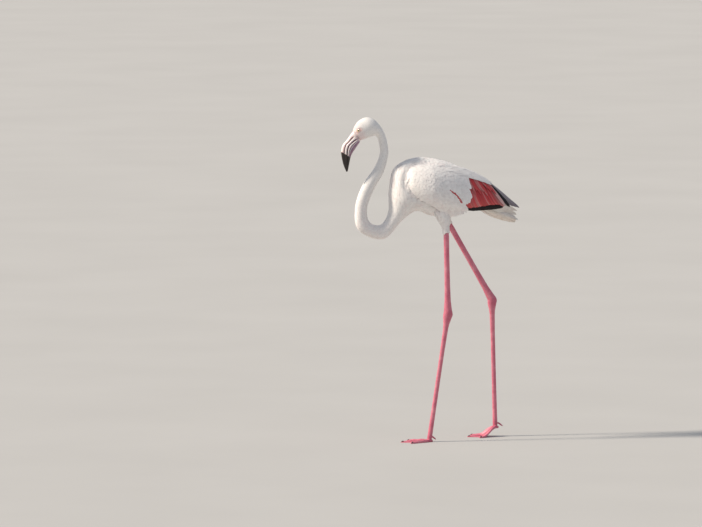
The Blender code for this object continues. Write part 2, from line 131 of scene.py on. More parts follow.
# Folded wing: x, y and z of the upper edge, y and z of the lower edge, crown of
# the section, and how far its coverts stand out from it.
WING = (
    (-0.0815, 0.038, 0.788, 0.047, 0.756, 0.001, 0.001),
    (-0.0755, 0.041, 0.797, 0.051, 0.745, 0.005, 0.003),
    (-0.0660, 0.043, 0.804, 0.056, 0.735, 0.009, 0.005),
    (-0.0450, 0.041, 0.811, 0.062, 0.718, 0.016, 0.007),
    (-0.0250, 0.040, 0.814, 0.065, 0.705, 0.020, 0.008),
    (0.0000, 0.036, 0.816, 0.066, 0.693, 0.022, 0.010),
    (0.0500, 0.026, 0.813, 0.066, 0.682, 0.020, 0.009),
    (0.1000, 0.018, 0.801, 0.062, 0.678, 0.014, 0.008),
    (0.1500, 0.013, 0.779, 0.054, 0.678, 0.011, 0.007),
    (0.2000, 0.011, 0.746, 0.042, 0.680, 0.007, 0.005),
    (0.2420, 0.012, 0.707, 0.031, 0.682, 0.003, 0.003),
    (0.2660, 0.015, 0.688, 0.022, 0.680, 0.001, 0.0015),
)
# The shallow groove round the wing's lower edge, front and top: x, z and how deep.
GROOVE = ((-0.004, 0.6835, 0.0), (-0.0235, 0.6950, 0.35), (-0.0435, 0.7088, 0.65),
          (-0.0615, 0.7225, 0.85), (-0.0760, 0.7360, 0.95), (-0.0870, 0.7500, 1.0),
          (-0.0905, 0.7650, 1.0), (-0.0880, 0.7830, 1.0), (-0.0810, 0.7960, 1.0),
          (-0.066, 0.8080, 0.95), (-0.038, 0.8180, 0.65), (0.000, 0.8230, 0.25))
GROOVE_DEPTH, GROOVE_WIDTH = 0.0088, 0.0105

# Tail: x, z of the middle, half breadth, half depth.
TAIL = (
    (0.1450, 0.692, 0.020, 0.018),
    (0.1800, 0.676, 0.030, 0.019),
    (0.2150, 0.662, 0.036, 0.017),
    (0.2450, 0.651, 0.036, 0.013),
    (0.2660, 0.643, 0.030, 0.008),
)

# Legs, hip to toe joint. The left foot is flat and the right one is on its toes.
FLAT_JOINT_HEIGHT = 0.0125
LEGS = {
    "left": {
        "hip": (0.0240, -0.036, 0.7000),
        "feather_end": (0.0362, -0.0440, 0.6220),
        "ankle": (0.0415, -0.0450, 0.3790),
        "toe_joint": (-0.0150, -0.0450, FLAT_JOINT_HEIGHT),
    },
    "right": {
        "hip": (0.0260, 0.036, 0.7000),
        "feather_end": (0.0660, 0.0440, 0.6400),
        "ankle": (0.2015, 0.0450, 0.4075),
        "toe_joint": (0.2124, 0.0450, 0.0370),
    },
}
# Share of the length, half thickness fore and aft, half thickness across.
THIGH = ((0.0, 0.0320, 0.0240), (0.35, 0.0280, 0.0220), (0.62, 0.0190, 0.0180),
         (0.85, 0.0120, 0.0115), (1.0, 0.0104, 0.0100))
THIGH_SKIN = ((0.0, 0.0220), (0.35, 0.0170), (0.62, 0.0105), (0.85, 0.0074), (1.0, 0.0068))
SHANK = ((0.08, 0.0082, 0.0065), (0.25, 0.0080, 0.0062), (0.60, 0.0082, 0.0062),
         (0.85, 0.0094, 0.0072), (0.94, 0.0114, 0.0092), (0.985, 0.0124, 0.0100))
TARSUS = ((0.015, 0.0132, 0.0104), (0.035, 0.0130, 0.0096), (0.06, 0.0112, 0.0084),
          (0.09, 0.0090, 0.0070), (0.12, 0.0078, 0.0060),
          (0.30, 0.0066, 0.0054), (0.70, 0.0066, 0.0054), (0.93, 0.0070, 0.0062),
          (0.97, 0.0078, 0.0072), (1.0, 0.0066, 0.0064))

# Foot: angle of each front toe from straight ahead, inwards positive, and length.
TOES = ((0.50, 0.066), (0.02, 0.086), (-0.46, 0.074))
TOE_SPACING = 0.0062
TOE_HALF_WIDTH = 0.0040
TOE_HEIGHT = 0.0088
WEB_THICKNESS = 0.0016
WEB_SCALLOP = 0.20
PAD_REACH = 0.0100
BEND_LENGTH = 0.045
TARSUS_END = 0.0045
TOE_STEPS = (1.0, 0.8, 0.45, 0.0, -0.45, -0.8, -1.0)    # across half of its width
WEB_STEPS = (0.12, 0.25, 0.38, 0.5, 0.62, 0.75, 0.88)   # share of the way to the next toe
# Heel, front to back: share of PAD_REACH, share of the breadth, height and sole.
HEEL_ROWS = ((0.42, 0.97, 0.0080, 0.0), (0.68, 0.88, 0.0070, 0.0002),
             (0.86, 0.72, 0.0060, 0.0007), (0.96, 0.52, 0.0048, 0.0017),
             (1.0, 0.30, 0.0034, 0.0030))
KNUCKLES = 3.0                    # swellings along a toe
TOE_BLEND_REACH = 0.016           # round the toe joint, where tarsus and foot blend
TOE_BLEND_DEPTH = 0.0065          # of that below the joint
HIND_TOE_LENGTH = 0.019
HIND_TOE_ROOT = (0.0075, 0.0, 0.0040)
HIND_TOE_WAY = (0.75, -0.25, -0.55)      # y is outwards from the bird's middle
CLAW_LENGTH = 0.0085

SCUTE = 0.0042                    # length of one horn scute down the leg
TOE_SCUTE = 0.0026
ANKLE_FOLD = 0.0034               # between two folds in front of the ankle
PATCH = 0.0030                    # of one feather on the baking map
SMALL_STEP = 1e-3                 # for slopes of a ground

# Multiples of these, less their whole parts, fill a stretch or an area evenly.
EVEN_STEP = 0.6180339887
EVEN_STEPS = (0.7548776662, 0.5698402910)


# ---------------------------------------------------------------- curves and grounds

def curve(rows, t):
    """Catmull-Rom rows at t, an array. It runs straight on past both ends."""
    rows = np.asarray(rows, float)
    if rows.ndim == 1:
        rows = rows[:, None]
    last = len(rows) - 1
    t = np.asarray(t, float)
    inside = np.clip(t, 0.0, last)
    i = np.minimum(inside.astype(int), last - 1)
    f = (inside - i)[..., None]
    p0, p1 = rows[np.maximum(i - 1, 0)], rows[i]
    p2, p3 = rows[i + 1], rows[np.minimum(i + 2, last)]
    value = 0.5 * (2 * p1 + (p2 - p0) * f + (2 * p0 - 5 * p1 + 4 * p2 - p3) * f ** 2
                   + (3 * p1 - p0 - 3 * p2 + p3) * f ** 3)
    slope = 0.5 * ((p2 - p0) + 2 * (2 * p0 - 5 * p1 + 4 * p2 - p3) * f
                   + 3 * (3 * p1 - p0 - 3 * p2 + p3) * f ** 2)
    return value + slope * (t - inside)[..., None]


def steady(low, high, value):
    """Smooth step from 0 at low to 1 at high."""
    share = np.clip((np.asarray(value, float) - low) / (high - low), 0.0, 1.0)
    return share * share * (3 - 2 * share)


def turns(sides):
    """Evenly spaced angles of one full turn."""
    return np.arange(sides) * 2 * math.pi / sides


def unit(ways):
    """Directions of length 1."""
    return ways / (np.linalg.norm(ways, axis=-1, keepdims=True) + 1e-12)


def coat_at(t, column):
    """Depth (1), length (2), row step (3) or gap (4) of the body's coat at station t."""
    table = np.array(COAT)
    return np.interp(t, table[:, 0], table[:, column])


WING_FINE = curve(WING, np.linspace(0, len(WING) - 1, 500))


def wing_row(x):
    """Columns of the wing's table at x."""
    return np.stack([np.interp(x, WING_FINE[:, 0], column) for column in WING_FINE.T],
                    axis=-1)


def wing_share(row, z):
    """Height on the wing, from -1 at its lower edge to 1 at its upper edge."""
    z_up, z_low = row[..., 2], row[..., 4]
    return (z - (z_up + z_low) / 2) / ((z_up - z_low) / 2)


def groove(x, z):
    """How far the trunk draws in at a point in side view, in the groove round the
    folded wing and behind the wing itself."""
    drawn = np.zeros(np.shape(x))
    for line_x, line_z, deep in curve(GROOVE, np.linspace(0, len(GROOVE) - 1, 40)):
        near = (x - line_x) ** 2 + (z - line_z) ** 2
        drawn = np.maximum(drawn, deep * np.exp(-near / GROOVE_WIDTH ** 2))
    row = wing_row(x)
    behind = steady(-0.094, -0.087, x) * (1 - steady(0.06, 0.12, x)) \
        * steady(-0.004, 0.008, z - row[..., 4]
                 + np.interp(x, [-0.05, -0.02, 0.02], [0.010, 0.0, -0.010])) \
        * steady(0.003, 0.024, row[..., 2] - z)
    return GROOVE_DEPTH * np.maximum(drawn, behind)


def body_ground(u, v, depth):
    """Head, neck and trunk: u is the station, v the turn from the back line."""
    row = curve(STATIONS, u)
    back, front, breadth = row[..., 0:2], row[..., 2:4], np.maximum(row[..., 4], 0.004)
    middle, up = (back + front) / 2, (back - front) / 2
    tall = np.linalg.norm(up, axis=-1)
    lift = np.cos(v)
    if np.max(u) > GROOVE_START:
        side = np.abs(np.sin(v))
        depth = depth + steady(0.12, 0.40, side) * groove(
            middle[..., 0] + up[..., 0] * lift, middle[..., 1] + up[..., 1] * lift)
    lift = lift * (1 - depth / tall)
    return np.stack([middle[..., 0] + up[..., 0] * lift,
                     (breadth - depth) * np.sin(v),
                     middle[..., 1] + up[..., 1] * lift], axis=-1)


def wing_breadth(x, z):
    """How far the folded wing's outside stands from the bird's middle, in side view.
    Past its upper and lower edges the surface runs straight on, inwards."""
    row = wing_row(x)
    y_up, y_low, crown, thick = (row[..., k] for k in (1, 3, 5, 6))
    share = wing_share(row, z)
    inside = np.clip(share, -1.0, 1.0)
    above, below = np.clip(share - 1.0, 0.0, 0.6), np.clip(-share - 1.0, 0.0, 0.6)
    tuck = np.interp(x, [-0.03, 0.03, 0.06, 0.09], [2.4, 2.2, 2.0, 1.4])
    bulge = crown * (1 - inside ** 2) + thick * (1 - inside ** 4) \
        - above * (2 * crown + 3 * thick) - below * tuck * (crown + thick)
    return (y_up + y_low) / 2 + (y_up - y_low) / 2 * np.clip(share, -1.3, 1.2) + bulge


def wing_ground(side):
    """Outside of one folded wing: u is x and v is z in side view, except that past
    the upper edge the surface levels out towards the bird's middle."""
    def place(u, v, depth):
        y = wing_breadth(u, v) - depth
        past = np.maximum(0.0, v - wing_row(u)[..., 2]) * 0.80 * steady(0.0, 0.05, u)
        return np.stack([u + 0 * y, side * y, v + 0 * y - past], axis=-1)
    return place


def leg_line(leg):
    """The middle line of a leg from hip to toe joint, at every millimetre, and the
    distances of its feather end, ankle and toe joint from the hip."""
    joint = Vector(leg["toe_joint"]) + Vector((0, 0, TARSUS_END - FLAT_JOINT_HEIGHT))
    corners = [np.array(leg["hip"]), np.array(leg["feather_end"]),
               np.array(leg["ankle"]), np.array(joint)]
    marks = np.cumsum([0.0] + [np.linalg.norm(b - a) for a, b in zip(corners, corners[1:])])
    distance = np.arange(0.0, marks[-1] + 0.0005, 0.001)
    points = np.stack([np.interp(distance, marks, [c[k] for c in corners])
                       for k in range(3)], axis=-1)
    window = np.hanning(19)[1:-1]
    window /= window.sum()
    pad = len(window) // 2
    start = points[0] - (points[1] - points[0]) * np.arange(pad, 0, -1)[:, None]
    end = points[-1] + (points[-1] - points[-2]) * np.arange(1, pad + 1)[:, None]
    padded = np.concatenate([start, points, end])
    rounded = np.stack([np.convolve(padded[:, k], window, "valid") for k in range(3)],
                       axis=-1)
    return distance, rounded, marks


def leg_axes(distance, line, u):
    """Point, forward and sideways directions of a leg's middle line at distance u."""
    point = np.stack([np.interp(u, distance, line[:, k]) for k in range(3)], axis=-1)
    slope = np.gradient(line, distance, axis=0)
    down = np.stack([np.interp(u, distance, slope[:, k]) for k in range(3)], axis=-1)
    down /= np.linalg.norm(down, axis=-1, keepdims=True)
    fore = np.cross(np.array([0.0, 1.0, 0.0]) + 0 * down, down)
    fore /= np.linalg.norm(fore, axis=-1, keepdims=True)
    return point + down * np.minimum(0, u)[..., None], fore, np.cross(down, fore)


def thigh_ground(leg):
    """Feathered upper leg: u is the distance from the hip, v the turn from ahead."""
    distance, line, marks = leg_line(leg)
    rows = np.array(THIGH)

    def place(u, v, depth):
        point, fore, across = leg_axes(distance, line, u)
        fore_half = np.interp(u / marks[1], rows[:, 0], rows[:, 1]) - depth
        side_half = np.interp(u / marks[1], rows[:, 0], rows[:, 2]) - depth
        return (point + fore * (np.cos(v) * fore_half)[..., None]
                + across * (np.sin(v) * side_half)[..., None])
    return place, marks[1]


def tail_line(u):
    """Height of the middle, half breadth and half depth of the tail at x."""
    rows = np.array(TAIL)
    z = np.interp(u, rows[:, 0], rows[:, 1]) \
        + np.minimum(0, u - rows[0, 0]) * -0.46 + np.maximum(0, u - rows[-1, 0]) * -0.38
    return z, np.interp(u, rows[:, 0], rows[:, 2]), np.interp(u, rows[:, 0], rows[:, 3])


def tail_ground(u, v, depth):
    """Outside of the tail: u is x and v is the turn from its top."""
    z, half, deep = tail_line(u)
    return np.stack([u + 0 * v, (half - depth) * np.sin(v), z + (deep - depth) * np.cos(v)],
                    axis=-1)


def fan_ground(u, v, depth):
    """The sheet of tail quills inside the tail: u is x and v is y."""
    z, half, deep = tail_line(u)
    arch = 0.6 * deep * (1 - (v / half) ** 2)
    return np.stack([u + 0 * v, v + 0 * u, z + arch - depth], axis=-1)


def saddle_ground(u, v, depth):
    """Across the bird's middle from one wing's upper edge to the other's."""
    row = wing_row(u)
    sag = 0.0025 * (v / row[..., 1]) ** 2
    return np.stack([u + 0 * v, v + 0 * u, row[..., 2] - 0.0012 - sag - depth], axis=-1)


def stretch(place, u, v):
    """Metres that one unit of u and one of v cover on a ground."""
    h = SMALL_STEP
    along = place(u + h, v, 0.0) - place(u - h, v, 0.0)
    across = place(u, v + h, 0.0) - place(u, v - h, 0.0)
    return (np.linalg.norm(along, axis=-1) / (2 * h) + 1e-9,
            np.linalg.norm(across, axis=-1) / (2 * h) + 1e-9)


# ---------------------------------------------------------------- meshes

def mesh_object(name, points, faces, values=None, uv=None):
    """A smooth mesh piece. Faces is a list of arrays, one per corner count."""
    faces = [np.asarray(f, int) for f in faces if len(f)]
    corners = np.concatenate([f.ravel() for f in faces])
    sizes = np.concatenate([np.full(len(f), f.shape[1]) for f in faces])
    starts = np.concatenate([[0], np.cumsum(sizes)[:-1]])
    mesh = bpy.data.meshes.new(name)
    mesh.vertices.add(len(points))
    mesh.vertices.foreach_set("co", np.asarray(points, np.float32).ravel())
    mesh.loops.add(len(corners))
    mesh.loops.foreach_set("vertex_index", corners.astype(np.int32))
    mesh.polygons.add(len(sizes))
    mesh.polygons.foreach_set("loop_start", starts.astype(np.int32))
    mesh.update(calc_edges=True)
    for key, value in (values or {}).items():
        layer = mesh.attributes.new(key, "FLOAT", "POINT")
        layer.data.foreach_set("value", np.asarray(value, np.float32).ravel())
    if uv is not None:
        layer = mesh.uv_layers.new(name="OFBake")
        layer.data.foreach_set("uv", np.asarray(uv[corners], np.float32).ravel())
    mesh.shade_smooth()
    thing = bpy.data.objects.new(name, mesh)
    bpy.context.scene.collection.objects.link(thing)
    return thing


def tube_faces(rings, sides, capped=True):
    """Faces of a tube of rings, counted ring by ring, and its two end caps."""
    r, s = np.meshgrid(np.arange(rings - 1), np.arange(sides), indexing="ij")
    n = (s + 1) % sides
    quads = np.stack([r * sides + s, r * sides + n, (r + 1) * sides + n,
                      (r + 1) * sides + s], axis=-1).reshape(-1, 4)
    if not capped:
        return [quads]
    caps = np.array([np.arange(sides)[::-1], (rings - 1) * sides + np.arange(sides)])
    return [quads, caps]


def outward(thing):
    """Turn a closed mesh's faces outwards."""
    bm = bmesh.new()
    bm.from_mesh(thing.data)
    bmesh.ops.recalc_face_normals(bm, faces=bm.faces)
    bm.to_mesh(thing.data)
    bm.free()
    return thing


def show(thing, slot, material, *nodes):
    """Give a piece its material and body, and hide the solids that it stands for."""
    if material is not None:
        thing.data.materials.append(material)
    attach(thing, "root")
    if nodes:
        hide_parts(*nodes)
    return thing


# ---------------------------------------------------------------- materials

def linear(hex_colour):
    """An sRGB hex colour as linear RGBA."""
    parts = [int(hex_colour[k:k + 2], 16) / 255 for k in (1, 3, 5)]
    return (*[c / 12.92 if c <= 0.04045 else ((c + 0.055) / 1.055) ** 2.4
              for c in parts], 1.0)


def add(tree, kind, links=(), stops=(), **settings):
    """Add a node with its settings, its input links as (input, node, output), and the
    stops of a colour ramp as (place, hex colour)."""
    node = tree.nodes.new(kind)
    if stops:
        elements = node.color_ramp.elements
        while len(elements) < len(stops):
            elements.new(0.5)
        for element, (place, colour) in zip(elements, stops):
            element.position = place
            element.color = linear(colour)
    for key, value in settings.items():
        if key.startswith("in_"):
            name = key[3:].replace("_", " ")
            socket = node.inputs[int(name)] if name.isdigit() else node.inputs[name]
            socket.default_value = value
        else:
            setattr(node, key, value)
    for entry, source, out in links:
        tree.links.new(source.outputs[out], node.inputs[entry])
    return node


def new_material(name, roughness, **constants):
    """A Principled material with constants on the shader's own sockets."""
    material = bpy.data.materials.new(name)
    material.use_nodes = True
    tree = material.node_tree
    shader = tree.nodes["Principled BSDF"]
    shader.inputs["Roughness"].default_value = roughness
    for key, value in constants.items():
        shader.inputs[key.replace("_", " ")].default_value = value
    return material, tree, shader


def surface(tree, shader, colour, out, bump=None):
    """Link a material's colour and bump to its shader."""
    tree.links.new(colour.outputs[out], shader.inputs["Base Color"])
    if bump:
        tree.links.new(bump.outputs[0], shader.inputs["Normal"])


BARB_WAVES = 190.0                # radians of the barbs' wave in a vane's length
BARB_SLANT = -0.30


def vane_material(name, colours, shaft, barbs=0.35, washed=None, roughness=0.72,
                  silky=0.2, vary=0.08, gloss=0.5):
    """Feather vane: keratin barbs on a shaft, matt and faintly silky.

    colours run from the downy root to the tip. washed is a second set of colours
    for the parts that carry the marking. The eye sees fine slanting barbs, a shaft
    of another tone, and slight differences from one feather to the next.
    """
    material, tree, shader = new_material(name, roughness, Sheen_Weight=silky,
                                          Sheen_Roughness=0.45, IOR=1.54,
                                          Specular_IOR_Level=gloss)
    along, across, tone, wash = (add(tree, "ShaderNodeAttribute", attribute_name=key)
                                 for key in ("along", "across", "tone", "wash"))
    vane = add(tree, "ShaderNodeValToRGB", [(0, along, "Fac")], colours)
    if washed:
        second = add(tree, "ShaderNodeValToRGB", [(0, along, "Fac")], washed)
        vane = add(tree, "ShaderNodeMix", [("Factor", wash, "Fac"),
                                           (6, vane, "Color"), (7, second, "Color")],
                   data_type="RGBA")
    out = "Color" if not washed else 2
    # One feather differs a little from the next in lightness.
    lighter = add(tree, "ShaderNodeMapRange", [("Value", tone, "Fac")],
                  in_To_Min=1.0 - vary, in_To_Max=1.0 + 0.5 * vary)
    side = add(tree, "ShaderNodeMath", [(0, across, "Fac")], operation="ABSOLUTE")
    # Barbs slant from the shaft to the tip, about thirty to a vane's length here,
    # far coarser than real ones, so that they show.
    slant = add(tree, "ShaderNodeMath", [(0, side, 0)], operation="MULTIPLY",
                in_1=BARB_SLANT)
    reach = add(tree, "ShaderNodeMath", [(0, along, "Fac"), (1, slant, 0)],
                operation="ADD")
    count = add(tree, "ShaderNodeMath", [(0, reach, 0)], operation="MULTIPLY",
                in_1=BARB_WAVES)
    wave = add(tree, "ShaderNodeMath", [(0, count, 0)], operation="SINE")
    ridge = add(tree, "ShaderNodeMapRange", [("Value", wave, 0)],
                in_From_Min=-1.0, in_From_Max=1.0,
                in_To_Min=1.0 - 0.16 * barbs, in_To_Max=1.0 + 0.06 * barbs)
    both = add(tree, "ShaderNodeMath", [(0, lighter, 0), (1, ridge, 0)],
               operation="MULTIPLY")
    toned = add(tree, "ShaderNodeVectorMath", [(0, vane, out), ("Scale", both, 0)],
                operation="SCALE")
    shaft_line = add(tree, "ShaderNodeMapRange", [("Value", side, 0)],
                     in_From_Min=0.03, in_From_Max=0.10, in_To_Min=0.55, in_To_Max=0.0)
    colour = add(tree, "ShaderNodeMix", [("Factor", shaft_line, 0), (6, toned, 0)],
                 data_type="RGBA", in_7=linear(shaft))
    bump = add(tree, "ShaderNodeBump", [("Height", wave, 0)], in_Strength=0.25 * barbs,
               in_Distance=0.0004)
    surface(tree, shader, colour, 2, bump)
    return material


def white_plumage():
    """White contour feathers with a faint pink flush, and painted shade that greys their
    roots.
    """
    return vane_material(
        "white_contour_feathers",
        # The grey root colours are painted shade in the crevices between overlapping feathers.
        ((0.0, "#DCD7D4"), (0.45, "#ECE7E4"), (0.8, "#F4F0EC"), (1.0, "#F7F3EF")),
        "#EDE7E2", barbs=0.5,
        washed=((0.0, "#DDC4C1"), (0.45, "#EBCBC8"), (0.8, "#F2D9D6"), (1.0, "#F5E0DC")))


def coral_plumage():
    """Coral red coverts, deep at the root, with paler pink edges where washed."""
    return vane_material(
        "coral_covert_feathers",
        ((0.0, "#A4242C"), (0.4, "#C03339"), (0.75, "#D04346"), (1.0, "#D85856")),
        "#A8262C", barbs=1.0, silky=0.0, vary=0.22,
        washed=((0.0, "#DE9C99"), (0.5, "#E2ABA6"), (1.0, "#E8C2BC")))


def black_plumage():
    """Brownish black flight feathers, silkier than the body's, grey where washed."""
    return vane_material(
        "black_flight_feathers",
        ((0.0, "#191416"), (0.6, "#1D1718"), (1.0, "#2A2122")), "#0E0B0C", barbs=1.4,
        washed=((0.0, "#B4ABAF"), (0.5, "#ADA2A6"), (1.0, "#978A8C")), roughness=0.60,
        silky=0.0, gloss=0.2)


def tail_plumage():
    """Pale pinkish grey tail feathers and coverts."""
    return vane_material(
        "pale_tail_feathers",
        ((0.0, "#E2DCD5"), (0.5, "#EFE9E0"), (1.0, "#EAE1D5")), "#DACFC4", barbs=0.6,
        washed=((0.0, "#DDC4BD"), (0.5, "#E9D4CC"), (1.0, "#E6D2C8")))


def leg_skin():
    """Living leg skin: satin keratin scales over pink flesh, deeper in the creases.

    The same piece carries the skin under the coat, with the coat's own markings.
    """
    material, tree, shader = new_material(
        "scaled_leg_skin", 0.42, IOR=1.45, Subsurface_Weight=0.12, Subsurface_Scale=0.004,
        Subsurface_Radius=(1.0, 0.35, 0.25))
    place = add(tree, "ShaderNodeTexCoord")
    # Small net-like scales, 2.4 mm across.
    scales = add(tree, "ShaderNodeTexVoronoi", [("Vector", place, "Object")],
                 feature="DISTANCE_TO_EDGE", in_Scale=1 / 0.0024)
    cells = add(tree, "ShaderNodeTexVoronoi", [("Vector", place, "Object")],
                in_Scale=1 / 0.0024)
    blotch = add(tree, "ShaderNodeTexNoise", [("Vector", place, "Object")],
                 in_Scale=1 / 0.022, in_Detail=4.0)
    pink = add(tree, "ShaderNodeValToRGB", [(0, blotch, "Fac")],
               ((0.30, "#C9637A"), (0.52, "#DA7F90"), (0.70, "#E49AA5")))
    crease = add(tree, "ShaderNodeValToRGB", [(0, scales, "Distance")],
                 ((0.0, "#A34A5F"), (0.16, "#DA7F90")))
    scaled = add(tree, "ShaderNodeMix", [(6, pink, "Color"), (7, crease, "Color")],
                 data_type="RGBA", in_Factor=0.32)
    knuckle = add(tree, "ShaderNodeAttribute", attribute_name="joint")
    jointed = add(tree, "ShaderNodeMix", [("Factor", knuckle, "Fac"), (6, scaled, 2)],
                  data_type="RGBA", in_7=linear("#B54D66"))
    bare = add(tree, "ShaderNodeAttribute", attribute_name="bare")
    coral = add(tree, "ShaderNodeAttribute", attribute_name="coral")
    under = add(tree, "ShaderNodeMix", [("Factor", coral, "Fac")], data_type="RGBA",
                in_6=linear("#DCC9C6"), in_7=linear("#9A3440"))
    face = add(tree, "ShaderNodeAttribute", attribute_name="face")
    faced = add(tree, "ShaderNodeMix", [("Factor", face, "Fac"), (6, under, 2)],
                data_type="RGBA", in_7=linear("#EED3CD"))
    colour = add(tree, "ShaderNodeMix", [("Factor", bare, "Fac"), (6, faced, 2),
                                         (7, jointed, 2)], data_type="RGBA")
    height = add(tree, "ShaderNodeMix", [(2, scales, "Distance"), (3, cells, "Distance")],
                 in_Factor=0.35)
    bump = add(tree, "ShaderNodeBump", [("Height", height, 0)], in_Strength=0.35,
               in_Distance=0.0005)
    surface(tree, shader, colour, 2, bump)
    return material


def bill_horn():
    """Bill: satin keratin, pink at the base and black at the tip, with a painted highlight on
    its ridges, painted shade in its grooves, and mauve partly deepened by painted shade on its
    lower side.
    """
    material, tree, shader = new_material(
        "bill_keratin", 0.34, IOR=1.54, Coat_Weight=0.15, Coat_Roughness=0.25,
        Subsurface_Weight=0.08, Subsurface_Scale=0.003)
    place = add(tree, "ShaderNodeTexCoord")
    grain = add(tree, "ShaderNodeTexNoise", [("Vector", place, "Object")],
                in_Scale=1 / 0.004, in_Detail=5.0, in_Roughness=0.6)
    mottle = add(tree, "ShaderNodeTexNoise", [("Vector", place, "Object")],
                 in_Scale=1 / 0.012, in_Detail=3.0)
    pink = add(tree, "ShaderNodeValToRGB", [(0, mottle, "Fac")],
               ((0.32, "#E2BDB8"), (0.62, "#F1DFDA")))
    # Mauve: partly the bill's own tint and partly painted shade on its lower side.
    shaded_mauve = add(tree, "ShaderNodeValToRGB", [(0, mottle, "Fac")],
                ((0.32, "#85647A"), (0.62, "#A17D90")))
    ridge, shade, black = (add(tree, "ShaderNodeAttribute", attribute_name=key)
                           for key in ("ridge", "shaded_mauve", "black"))
    base = add(tree, "ShaderNodeMix", [("Factor", shade, "Fac"), (6, pink, "Color"),
                                       (7, shaded_mauve, "Color")], data_type="RGBA")
    # Painted highlight: paler on the ridges.
    painted_ridge_light = add(tree, "ShaderNodeMix", [("Factor", ridge, "Fac"), (6, base, 2)],
                 data_type="RGBA", in_7=linear("#F8EDE9"))
    groove = add(tree, "ShaderNodeAttribute", attribute_name="groove")
    # Painted shade: darker in the grooves, the nostril and along the mouth.
    painted_groove_shade = add(tree, "ShaderNodeMix", [("Factor", groove, "Fac"), (6, painted_ridge_light, 2)],
                  data_type="RGBA", in_7=linear("#664555"))
    dark = add(tree, "ShaderNodeValToRGB", [(0, grain, "Fac")],
               ((0.30, "#140B09"), (0.75, "#2E1C16")))
    colour = add(tree, "ShaderNodeMix", [("Factor", black, "Fac"), (6, painted_groove_shade, 2),
                                         (7, dark, "Color")], data_type="RGBA")
    bump = add(tree, "ShaderNodeBump", [("Height", grain, "Fac")], in_Strength=0.18,
               in_Distance=0.0004)
    surface(tree, shader, colour, 2, bump)
    return material


def claw_horn():
    """Claws: blunt dark horn, lighter and worn towards the tip."""
    material, tree, shader = new_material("claw_horn", 0.38, IOR=1.54)
    reach = add(tree, "ShaderNodeAttribute", attribute_name="along")
    colour = add(tree, "ShaderNodeValToRGB", [(0, reach, "Fac")],
                 ((0.0, "#7A5058"), (0.5, "#4A3238"), (1.0, "#5E4A48")))
    place = add(tree, "ShaderNodeTexCoord")
    grain = add(tree, "ShaderNodeTexNoise", [("Vector", place, "Object")],
                in_Scale=1 / 0.001, in_Detail=3.0)
    bump = add(tree, "ShaderNodeBump", [("Height", grain, "Fac")], in_Strength=0.2,
               in_Distance=0.0002)
    surface(tree, shader, colour, 0, bump)
    return material


def eye_glass():
    """Museum glass eye: black pupil, pale yellow iris with fine rays, wet gloss."""
    material, tree, shader = new_material("glass_eye", 0.05, IOR=1.50, Coat_Weight=1.0,
                                          Coat_Roughness=0.02)
    reach = add(tree, "ShaderNodeAttribute", attribute_name="reach")
    ray = add(tree, "ShaderNodeAttribute", attribute_name="ray")
    iris = add(tree, "ShaderNodeValToRGB", [(0, reach, "Fac")],
               ((0.0, "#050404"), (0.125, "#080605"), (0.145, "#C4AD6C"), (0.22, "#EBE1B4"),
                (0.36, "#E6D9A4"), (0.44, "#9C8558"), (0.55, "#3A2C22")))
    fine = add(tree, "ShaderNodeMapRange", [("Value", ray, "Fac")], in_From_Min=-1.0,
               in_From_Max=1.0, in_To_Min=0.80, in_To_Max=1.08)
    colour = add(tree, "ShaderNodeVectorMath", [(0, iris, "Color"), ("Scale", fine, 0)],
                 operation="SCALE")
    surface(tree, shader, colour, 0)
    return material


def lid_skin():
    """Bare lid skin: fine wrinkled pink skin, slightly moist."""
    material, tree, shader = new_material("lid_skin", 0.45, IOR=1.42,
                                          Subsurface_Weight=0.1, Subsurface_Scale=0.002)
    place = add(tree, "ShaderNodeTexCoord")
    beads = add(tree, "ShaderNodeTexVoronoi", [("Vector", place, "Object")],
                in_Scale=1 / 0.0006)
    colour = add(tree, "ShaderNodeValToRGB", [(0, beads, "Distance")],
                 ((0.0, "#EFCDC6"), (0.6, "#E3B2AC")))
    bump = add(tree, "ShaderNodeBump", [("Height", beads, "Distance")], invert=True,
               in_Strength=0.3, in_Distance=0.0002)
    surface(tree, shader, colour, 0, bump)
    return material


def floor_paper():
    """Studio floor: matt pale paper with a faint mottle."""
    material, tree, shader = new_material("floor_paper", 0.9)
    place = add(tree, "ShaderNodeTexCoord")
    mottle = add(tree, "ShaderNodeTexNoise", [("Vector", place, "Object")], in_Scale=1.5,
                 in_Detail=3.0)
    colour = add(tree, "ShaderNodeValToRGB", [(0, mottle, "Fac")],
                 ((0.3, "#B7B5B2"), (0.7, "#BBB9B6")))
    surface(tree, shader, colour, 0)
    return material


# ---------------------------------------------------------------- feathers

# Outlines of a vane: share of the length, and half width there.
ROUND_VANE = ((0.0, 0.30), (0.35, 0.85), (0.62, 1.0), (0.80, 0.86), (0.92, 0.55), (0.98, 0.25),
              (1.0, 0.08))
FINE_VANE = ((0.0, 0.40), (0.45, 0.95), (0.75, 0.75), (0.92, 0.36), (1.0, 0.05))
PLUME = ((0.0, 0.35), (0.20, 0.75), (0.45, 1.0), (0.68, 0.82), (0.86, 0.48), (0.96, 0.20),
         (1.0, 0.05))
QUILL = ((0.0, 0.40), (0.25, 0.85), (0.55, 1.0), (0.80, 0.96), (0.92, 0.72), (0.98, 0.36),
         (1.0, 0.10))


def finer(outline):
    """An outline with more rows, for long vanes that have to hug a curved ground."""
    steps, half = np.array(outline).T
    more = np.unique(np.concatenate([steps, np.linspace(0, 1, 17)]))
    return np.stack([more, np.interp(more, steps, half)], axis=-1)


LONG_QUILL, LONG_PLUME = finer(QUILL), finer(PLUME)


